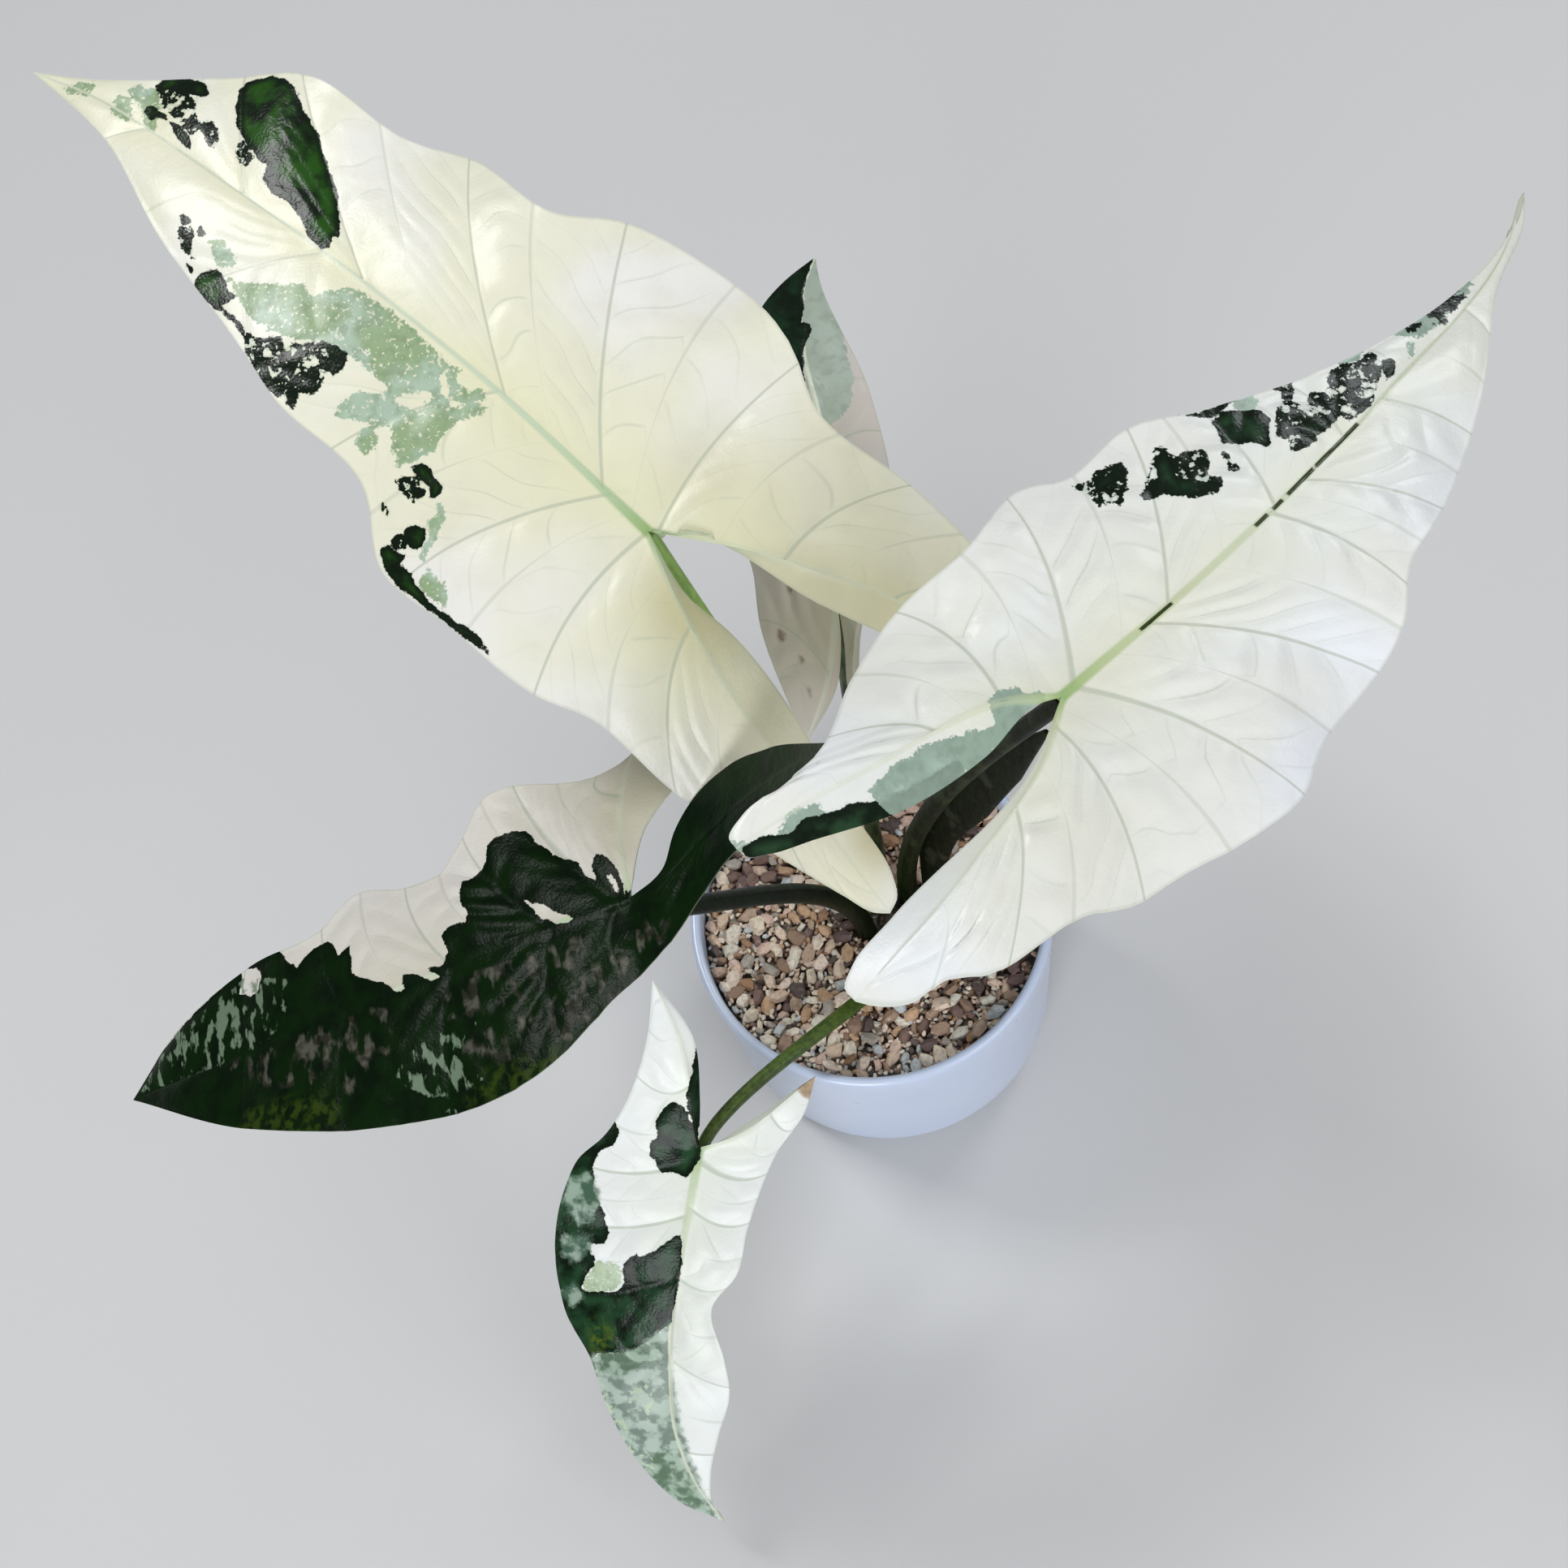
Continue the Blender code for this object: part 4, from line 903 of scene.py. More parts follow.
@dataclass(frozen=True)
class StoneFinish:
    """The finish of the gravel: one colour a stone, from a row of natural tones, with painted shade on low stones, on
    the bed and round the crown.
    """

    name: str = "river_gravel"
    tones: tuple[Colour, ...] = (
        (0.82, 0.74, 0.62), (0.54, 0.57, 0.58), (0.78, 0.66, 0.52), (0.70, 0.66, 0.56), (0.80, 0.66, 0.55),
        (0.72, 0.57, 0.45), (0.64, 0.49, 0.36), (0.42, 0.38, 0.33), (0.66, 0.48, 0.39), (0.70, 0.52, 0.40),
        (0.46, 0.33, 0.24), (0.56, 0.36, 0.22), (0.36, 0.24, 0.17), (0.28, 0.18, 0.12), (0.20, 0.12, 0.10),
        (0.13, 0.08, 0.075), (0.34, 0.19, 0.10), (0.08, 0.055, 0.05))

    def dress(self) -> bpy.types.Material:
        """Return the material."""
        paint = Paint(self.name)
        count = len(self.tones)
        stops = [(k / count, tone) for k, tone in enumerate(self.tones)]
        colour = paint.ramp(paint.noted("tone"), stops, stepped=True)
        dust = paint.step(paint.noise(1.3, 5.0), 0.42, 0.72)
        colour = paint.mix(paint.math("MULTIPLY", dust, 0.4), colour, (0.16, 0.12, 0.10))
        chalk = paint.step(paint.noise(2.4, 4.0), 0.6, 0.75)
        colour = paint.mix(paint.math("MULTIPLY", chalk, 0.35), colour, (0.74, 0.68, 0.60))
        # painted shade: darkens the bed, the lower layer of stones and the stones round the crown
        colour = paint.mix(paint.math("MULTIPLY", paint.noted("painted_shade"), 0.7), colour, (0.04, 0.028, 0.02))
        rough = paint.math("MULTIPLY_ADD", paint.noise(1.0, 3.0), 0.3, 0.5)
        paint.bump(paint.noise(0.7, 5.0), 0.3, 0.7)
        return paint.finish(Base_Color=colour, Roughness=rough)


@dataclass(frozen=True)
class BarkFinish:
    """The finish of the old stem: dark, scaly and dry."""

    name: str = "old_stem_bark"
    dark: Colour = (0.010, 0.008, 0.005)
    light: Colour = (0.075, 0.045, 0.022)

    def dress(self) -> bpy.types.Material:
        """Return the material."""
        paint = Paint(self.name)
        fibres = paint.noise(1.2, 5.0, stretch=(1.0, 1.0, 0.2))
        colour = paint.mix(paint.step(fibres, 0.45, 0.75), self.dark, self.light)
        rough = paint.math("MULTIPLY_ADD", paint.noise(1.5, 3.0), 0.25, 0.6)
        paint.bump(fibres, 0.5, 0.9)
        return paint.finish(Base_Color=colour, Roughness=rough)


@dataclass
class Net:
    """A net of points on one patch of a blade, as arrays of rows x columns."""

    a: np.ndarray
    b: np.ndarray
    lift: np.ndarray
    weight: np.ndarray
    notes: dict[str, np.ndarray]


@dataclass
class Blade:
    """A leaf blade: its outline and curved surface, with ribs, veins and quilted fields."""

    plan: Plan
    finish: LeafFinish
    slot: Slot
    coats: dict[Coat, list[Outline]]
    tints_and_painted_shades: list[TintAndPaintedShade] = field(default_factory=list)
    dashes: list[tuple[float, float]] = field(default_factory=list)
    mesh_step: float = 1.35
    columns: int = 44
    hem_columns: int = 10
    reach: float = 60.0
    vein_bow: float = 4.0
    bow_fade: float = 12.0
    rib_thickness: float = 3.0
    leaf_thickness: float = 0.8
    rim_thickness: float = 0.5
    quilt: float = 0.05
    quilt_limit: float = 1.3
    fold: float = 1.1
    fold_pitch: float = 11.0
    chevron: float = 0.8
    lobe_quilt: float = 1.0
    seam_depth: float = 0.35
    furrow: float = 0.22
    crumple: float = 0.3
    far: float = 12.0
    seed: float = 3.7

    def __post_init__(self) -> None:
        """Work out the blade's own directions."""
        self.junction = np.array(self.plan.junction, float)
        chord = np.array(self.plan.tip, float) - self.junction
        self.length = np.linalg.norm(chord)
        self.along = chord / self.length
        level = np.cross((0.0, 0.0, 1.0), self.along)
        level /= np.linalg.norm(level)
        upright = np.cross(self.along, level)
        turn = math.radians(self.plan.roll)
        self.across = math.cos(turn) * level + math.sin(turn) * upright
        self.up = np.cross(self.along, self.across)

    def height(self, half: Half, a: np.ndarray, b: np.ndarray) -> np.ndarray:
        """Return the surface's height over the blade's plane: arch, hanging lobe, cup and waves."""
        forward = np.maximum(a, 0.0) / self.length
        back = np.maximum(-a, 0.0) / 100
        share = np.abs(b) / self.reach
        size, pitch, phase = half.wave
        wave = size * np.minimum(share, 1.3) ** 2 * np.sin(math.tau * a / pitch + math.radians(phase))
        arch = self.plan.arch * 4 * forward * (1 - forward)
        return arch - half.lobe_drop * back ** 2 + half.cup * share ** 2 + wave

    def place(self, half: Half, a: np.ndarray, b: np.ndarray, lift: np.ndarray | float = 0.0) -> np.ndarray:
        """Return the points in space over places of the plane, raised by a lift."""
        rise = self.height(half, a, b) + lift
        return (self.junction + np.asarray(a)[..., None] * self.along
                + np.asarray(b)[..., None] * self.across + np.asarray(rise)[..., None] * self.up)

    def slope_normal(self, a: float) -> np.ndarray:
        """Return the surface's upward normal on the midrib."""
        ahead = self.place(self.plan.left, a + 2.0, 0.0) - self.place(self.plan.left, a, 0.0)
        normal = np.cross(ahead, self.across)
        return normal / np.linalg.norm(normal)

    def rows(self, breaks: set[float], low: float, high: float, length: float) -> np.ndarray:
        """Return row places with one on each vein.

        Args:
            breaks: The veins' places on the spine.
            low: The first row's place.
            high: The last row's place.
            length: The spine's length from low to high, in millimetres.

        Returns:
            Places from low to high, about one mesh step apart.
        """
        marks = sorted({low, high} | {mark for mark in breaks if low < mark < high})
        places = [low]
        for start, end in zip(marks, marks[1:]):
            count = max(1, round((end - start) / (high - low) * length / self.mesh_step))
            places.extend(np.linspace(start, end, count + 1)[1:])
        return np.array(places)

    def girth(self, places: np.ndarray) -> np.ndarray:
        """Return the half width of the rib's band along the spine."""
        return np.where(places <= 1, 0.6 + 1.6 * places ** 1.5, 1.7 - 1.2 * (places - 1))

    @staticmethod
    def breaks(half: Half) -> set[float]:
        """Return the veins' places on the spine, and the seams' places midway between them."""
        marks = [0.0] + [mark for mark, _ in half.vein_ends] + [2.0]
        return set(marks) | {(low + high) / 2 for low, high in zip(marks, marks[1:])}

    def relief(self, places: np.ndarray, a: np.ndarray, b: np.ndarray, off_rib: np.ndarray,
               shares: np.ndarray, vein_ends: Outline) -> tuple[np.ndarray, np.ndarray, dict[str, np.ndarray]]:
        """Return the veins' relief on the outer part of a half.

        Args:
            places: The rows' places on the spine.
            a: The net's places along the midrib.
            b: The net's places across it.
            off_rib: How far the net's points lie from the spine.
            shares: The columns' places from spine to margin.
            vein_ends: The half's veins.

        Returns:
            The lift, the strength of the main veins, and the notes for the fine lines.
        """
        step = np.hypot(np.diff(a, axis=0), np.diff(b, axis=0))
        run = np.concatenate([np.zeros((1, a.shape[1])), np.cumsum(step, axis=0)])
        marks = [0.0] + [mark for mark, _ in vein_ends] + [2.0]
        lift = np.zeros_like(a)
        main = np.zeros_like(a)
        crease = np.zeros_like(a)
        phase = np.zeros_like(a)
        off_vein = np.full_like(a, self.far)
        off_seam = np.full_like(a, self.far)
        fade = np.sin(np.pi * np.clip(shares, 0.0, 0.94)) ** 0.6
        taper = 1.0 - 0.75 * shares
        lobe_end = np.clip((2 - places) / 0.3, 0.05, 1)[:, None]
        at_mark = np.array([[np.interp(mark, places, run[:, c]) for c in range(a.shape[1])] for mark in marks])
        for start, end, low, high in zip(marks, marks[1:], at_mark, at_mark[1:]):
            rows = (places >= start) & (places <= end)
            width = np.maximum(high - low, 0.5)
            t = ((places[rows] - start) / (end - start))[:, None]
            scale = self.lobe_quilt if start >= 1 else 1.0
            bulge = np.minimum(self.quilt * width, self.quilt_limit) * scale
            lift[rows] += bulge * fade * np.sin(np.pi * t)
            after = t * width if start > 0 else self.far + 0 * t * width
            before = (1 - t) * width if end < 2 else self.far + 0 * t * width
            away = np.minimum(after, before)
            seam_away = np.abs(t - 0.5) * width
            main[rows] = np.maximum(main[rows], np.exp(-(away / (0.3 + 0.65 * taper)) ** 2) * taper)
            off_vein[rows] = np.minimum(off_vein[rows], away / (0.35 + 0.65 * taper) / lobe_end[rows])
            seam = np.clip((shares - 0.3) * 2.2, 0, 1) * np.clip(width / 25, 0, 1) * lobe_end[rows]
            off_seam[rows] = seam_away / np.maximum(seam, 0.02)
            coarse = np.stack([run[rows] / 17.0, off_rib[rows] / 17.0, np.full_like(run[rows], start)], -1)
            warp = ripple(coarse, 1.0, self.seed)
            ahead = 0.5 * width * (1 - np.abs(2 * t - 1) ** 1.4)
            phase[rows] = (off_rib[rows] - self.chevron * ahead + 5.0 * warp) / self.fold_pitch + 0.5 * (t > 0.5)
            patchy = np.clip(0.75 + 1.1 * ripple(coarse + 5.0, 1.0, self.seed), 0.25, 1.15)
            cell = np.clip(away / 3.0, 0, 1) * np.clip(seam_away / 3.0, 0, 1) * np.clip(width / 26, 0, 1)
            tip_calm = np.clip((places[rows] - 0.25) * 2.2, 0.12, 1)[:, None]
            crease[rows] = cell * fade * patchy * tip_calm
            lift[rows] += self.fold * scale * (np.abs(np.sin(np.pi * phase[rows])) - 0.6) * crease[rows]
            lift[rows] -= self.seam_depth * scale * seam * tip_calm * np.exp(-(seam_away / 1.7) ** 2)
        lift -= self.furrow * main
        return lift, main, {"phase": phase, "crease": crease, "off_vein": off_vein, "off_seam": off_seam}

    def outer(self, half: Half, mid_places: np.ndarray, lobe_places: np.ndarray) -> Net:
        """Return the net of a half from spine to margin."""
        places = np.concatenate([mid_places, lobe_places[1:]])
        spine = np.concatenate([curve(self.plan.midrib, mid_places), curve(half.rib, lobe_places - 1)[1:]])
        ends = [(0.0, 0.0)] + half.vein_ends + [(2.0, 1.0)]
        edge = curve(half.margin, np.interp(places, [s for s, _ in ends], [m for _, m in ends]))
        spine[-1] = edge[-1] = half.margin[-1]
        shares = np.linspace(0, 1, self.columns + 1)
        width = np.linalg.norm(edge - spine, axis=1)[:, None]
        a = spine[:, :1] * (1 - shares) + edge[:, :1] * shares
        b = spine[:, 1:] * (1 - shares) + edge[:, 1:] * shares
        bow = self.vein_bow * np.minimum(1.0, places)[:, None] * np.minimum(1.0, width / self.bow_fade)
        a = a + bow * 4 * shares * (1 - shares)
        off_rib = width * shares
        lift, main, lines = self.relief(places, a, b, off_rib, shares, half.vein_ends)
        rim = width * (1 - shares)
        calm = np.clip(width / 12, 0.05, 1)
        lines["off_vein"] = np.minimum(lines["off_vein"] / calm, self.far)
        lines["off_seam"] = np.minimum(lines["off_seam"] / calm, self.far)
        return self.net(half, places[:, None], a, b, lift * calm, off_rib, rim, main * calm, lines)

    def hem(self, half: Half, lobe_places: np.ndarray) -> Net:
        """Return the net of a lobe's inner strip, from its rib to the notch."""
        rib = curve(half.rib, lobe_places - 1)
        inner = curve(half.inner, lobe_places - 1)
        inner[-1] = rib[-1] = half.margin[-1]
        shares = np.linspace(0, 1, self.hem_columns + 1)
        a = rib[:, :1] * (1 - shares) + inner[:, :1] * shares
        b = rib[:, 1:] * (1 - shares) + inner[:, 1:] * shares
        width = np.linalg.norm(inner - rib, axis=1)[:, None]
        drop = -self.plan.hem_drop * shares * np.sin(math.pi * (lobe_places - 1))[:, None]
        zero = np.zeros_like(a)
        far = np.full_like(a, self.far)
        lines = {"phase": zero, "crease": zero, "off_vein": far, "off_seam": far}
        return self.net(half, lobe_places[:, None], a, b, drop, width * shares, width * (1 - shares), zero, lines)

    def net(self, half: Half, places: np.ndarray, a: np.ndarray, b: np.ndarray, lift: np.ndarray,
            off_rib: np.ndarray, rim: np.ndarray, main: np.ndarray, lines: dict[str, np.ndarray]) -> Net:
        """Return a net with its rib, thickness and notes added."""
        places = np.broadcast_to(places, a.shape)
        girth = self.girth(places)
        ridge = np.exp(-(off_rib / (0.8 * girth)) ** 2)
        stem = np.clip(1 - np.abs(places - 1), 0, 1)
        flat = self.place(half, a, b)
        crumple = ripple(flat, 17.0, self.seed) + 0.4 * ripple(flat, 6.0, self.seed + 9)
        lift = lift + 0.25 * girth * ridge * stem + self.crumple * crumple * np.clip(off_rib / 6, 0, 1)
        thin = self.leaf_thickness / self.rib_thickness
        full = np.where(places <= 1, places, 0.75 * (2 - places))
        weight = thin + (1 - thin) * full * np.exp(-(off_rib / 2.4) ** 2) + 0.18 * main
        weight = np.where(rim < 1.0, self.rim_thickness / self.rib_thickness, weight)
        notes = {**lines, "off_rib": np.minimum(off_rib, self.far), "rim": np.minimum(rim, self.far),
                 "middle": np.exp(-off_rib / 28) * np.clip(1.35 - np.abs(places - 0.9), 0, 1),
                 "ribbing": np.where(places <= 1, 1.0, np.clip(1 - 4 * (places - 1), 0.45, 1)),
                 "ribbon": np.clip(1 - off_rib / girth, -2, 1), "stem": stem}
        return Net(a, b, lift, np.clip(weight, 0, 1), notes)

    def colour_notes(self, a: np.ndarray, b: np.ndarray) -> dict[str, np.ndarray]:
        """Return each coat's depth, the warm tint with its painted shade, and the dashes at places of the plane."""
        clear = [inside(outline, a, b) for outline in self.coats.get(Coat.CLEAR, [])]
        notes = {}
        for coat in Coat:
            if coat is Coat.CLEAR:
                continue
            depth = np.full(len(a), -8.0)
            for outline in self.coats.get(coat, []):
                depth = np.maximum(depth, inside(outline, a, b))
            if coat in (Coat.DARK, Coat.MOTTLE, Coat.SAGE):
                for hole in clear:
                    depth = np.minimum(depth, -hole)
            notes[coat.value] = np.clip(depth, -8, 8)
        # the warm olive tint as soft round patches: partly yellowing, partly painted shade and painted light through
        # the leaf
        tint_and_painted_shade = np.zeros(len(a))
        for spot in self.tints_and_painted_shades:
            gap = np.hypot(a - spot.along, b - spot.across) / spot.reach
            tint_and_painted_shade = np.maximum(tint_and_painted_shade, spot.depth * np.exp(-gap ** 2))
        notes["tint_and_painted_shade"] = tint_and_painted_shade
        dash = np.full(len(a), -8.0)
        for low, high in self.dashes:
            dash = np.maximum(dash, np.minimum(a - low, high - a))
        notes["dash"] = np.clip(dash, -8, 8)
        return notes

    def lay(self, half: Half, net: Net, name: str) -> bpy.types.Object:
        """Make a sheet of a net, with its thickness as a vertex group and its notes."""
        sheet = Bench.sheet(name, self.place(half, net.a, net.b, net.lift))
        for key, values in {**net.notes, **self.colour_notes(net.a.ravel(), net.b.ravel())}.items():
            Bench.note(sheet, key, values)
        group = sheet.vertex_groups.new(name="thickness")
        for index, weight in enumerate(net.weight.ravel()):
            group.add([index], float(weight), "REPLACE")
        return sheet

    def build(self) -> bpy.types.Object:
        """Build the blade, dress it and let it stand for its solid."""
        plan = self.plan
        breaks = self.breaks(plan.left) | self.breaks(plan.right)
        mid_places = self.rows(breaks, 0.0, 1.0, self.length)
        sheets = []
        for half in (plan.left, plan.right):
            lobe_length = math.hypot(*half.margin[-1])
            lobe_places = self.rows(self.breaks(half), 1.0, 2.0, lobe_length)
            sheets.append(self.lay(half, self.outer(half, mid_places, lobe_places), "outer"))
            sheets.append(self.lay(half, self.hem(half, lobe_places), "hem"))
        blade = Bench.join(sheets, "leaf_blade_" + plan.name)
        Bench.merge(blade)
        Bench.face_along(blade, self.up)
        top = len(blade.data.vertices)
        Bench.modify(blade, "SOLIDIFY", thickness=self.rib_thickness * MM, offset=-1.0,
                     vertex_group="thickness")
        under = np.zeros(len(blade.data.vertices))
        under[top:] = 1.0
        Bench.note(blade, "under", under)
        Bench.smooth(blade, 60.0)
        blade.data.materials.append(self.finish.dress())
        Bench.deliver(blade, self.slot, "blade_" + plan.name)
        return blade


@dataclass
class Stalk:
    """The round stalk that carries a blade."""

    blade: Blade
    finish: StalkFinish
    slot: Slot
    crown: tuple[float, float] = (7.0, -2.0)
    ring: float = 10.5
    foot: float = 62.0
    inset: float = 2.0
    clearance: float = 0.3
    rings: int = 90
    sides: int = 28
    fluting: float = 0.05

    def build(self) -> bpy.types.Object:
        """Build the stalk, dress it and let it stand for its solid."""
        plan = self.blade.plan
        turn = math.radians(plan.root_angle)
        foot = (self.crown[0] + self.ring * math.cos(turn), self.crown[1] + self.ring * math.sin(turn), self.foot)
        normal = self.blade.slope_normal(self.inset)
        under = self.blade.place(plan.left, self.inset, 0.0) - normal * (self.blade.rib_thickness + self.clearance)
        path = bezier((foot, *plan.stalk_handles, tuple(under)), self.rings)
        tangents = np.gradient(path, axis=0)
        tangents /= np.linalg.norm(tangents, axis=1)[:, None]
        radii = np.linspace(plan.stalk_radii[0], plan.stalk_radii[1], self.rings)
        across = np.array((1.0, 0.3, 0.0))
        turns = np.linspace(0, math.tau, self.sides, endpoint=False)
        rings = []
        for place, tangent, radius in zip(path, tangents, radii):
            across = across - tangent * across.dot(tangent)
            across /= np.linalg.norm(across)
            side = np.cross(tangent, across)
            reach = radius * (1 + self.fluting * np.cos(5 * turns) * 0.4)
            rings.append(place + (reach * np.cos(turns))[:, None] * across + (reach * np.sin(turns))[:, None] * side)
        slip = ((under - rings[-1]) @ normal) / tangents[-1].dot(normal)
        rings[-1] = rings[-1] + slip[:, None] * tangents[-1]
        stalk = Bench.tube("leaf_stalk_" + plan.name, np.array(rings))
        Bench.smooth(stalk, 50.0)
        stalk.data.materials.append(self.finish.dress())
        Bench.deliver(stalk, self.slot, "stalk_" + plan.name)
        return stalk


@dataclass
class Sheath:
    """The flat, pointed leaf base beside the right-hand stalk."""

    finish: StalkFinish
    path: tuple[Point, ...] = ((22, -4, 62), (23, -3, 112), (27, -6, 160), (37, -17, 209), (47, -28, 252),
                               (57, -41, 297))
    widths: tuple[float, ...] = (3.4, 4.6, 6.6, 8.4, 6.4, 0.9)
    depths: tuple[float, ...] = (2.4, 2.4, 2.4, 2.2, 1.8, 0.6)
    flat_axis: Point = (-0.62, 0.75, 0.22)
    rings: int = 80
    sides: int = 32

    def build(self) -> bpy.types.Object:
        """Build the sheath, dress it and let it stand for its solid."""
        shares = np.linspace(0, 1, self.rings)
        path = curve(list(self.path), shares)
        knots = np.linspace(0, 1, len(self.widths))
        widths = np.interp(shares, knots, self.widths)
        depths = np.interp(shares, knots, self.depths)
        tangents = np.gradient(path, axis=0)
        tangents /= np.linalg.norm(tangents, axis=1)[:, None]
        turns = np.linspace(0, math.tau, self.sides, endpoint=False)
        across = np.array(self.flat_axis)
        rings = []
        for place, tangent, width, depth in zip(path, tangents, widths, depths):
            across = across - tangent * across.dot(tangent)
            across /= np.linalg.norm(across)
            side = np.cross(tangent, across)
            flat = np.sign(np.cos(turns)) * np.abs(np.cos(turns)) ** 0.8
            rings.append(place + (width * flat)[:, None] * across + (depth * np.sin(turns))[:, None] * side)
        sheath = Bench.tube("leaf_sheath_right", np.array(rings))
        Bench.smooth(sheath, 50.0)
        sheath.data.materials.append(self.finish.dress())
        Bench.deliver(sheath, Slot.DARK_STALK, "leaf_sheath")
        return sheath


@dataclass
class Pot:
    """The round pot: a turned shell with a soft lower corner and a rounded lip."""

    finish: GlazeFinish = GlazeFinish()
    height: float = 92.0
    rim_radius: float = 63.0
    side_radius: float = 59.0
    corner: float = 14.0
    wall: float = 3.6
    floor: float = 5.0
    segments: int = 160
    arc_steps: int = 12

    def radius_at(self, height: float) -> float:
        """Return the outer radius at a height above the lower corner."""
        share = (height - self.corner) / (self.height - self.corner)
        return self.side_radius + (self.rim_radius - self.side_radius) * share

    def arc(self, side: float, bottom: float, radius: float) -> list[tuple[float, float]]:
        """Return the quarter round between a flat bottom and the side, bottom first."""
        turns = np.linspace(0, math.pi / 2, self.arc_steps + 1)
        return [(side - radius + radius * math.sin(t), bottom + radius - radius * math.cos(t)) for t in turns]

    def build(self) -> bpy.types.Object:
        """Build the pot, dress it and let it stand for its solid."""
        lip = self.wall / 2
        crest = self.height - lip
        middle = self.radius_at(crest) - lip
        turns = np.linspace(0, math.pi, 2 * self.arc_steps + 1)
        rim = [(middle + lip * math.cos(t), crest + lip * math.sin(t)) for t in turns]
        inside_arc = self.arc(self.side_radius - self.wall, self.floor, self.corner - self.wall)[::-1]
        side = [(self.radius_at(h), h) for h in np.linspace(self.corner, crest, 8)[1:-1]]
        profile = ([(0.0, 0.0)] + self.arc(self.side_radius, 0.0, self.corner) + side + rim + inside_arc
                   + [(0.0, self.floor)])
        angles = np.linspace(0, math.tau, self.segments + 1)
        net = np.array([[(r * math.cos(t), r * math.sin(t), h) for t in angles] for r, h in profile])
        pot = Bench.sheet("glazed_pot", net)
        Bench.merge(pot)
        Bench.recalculate(pot)
        Bench.smooth(pot, 50.0)
        pot.data.materials.append(self.finish.dress())
        Bench.deliver(pot, Slot.POT, "pot")
        return pot


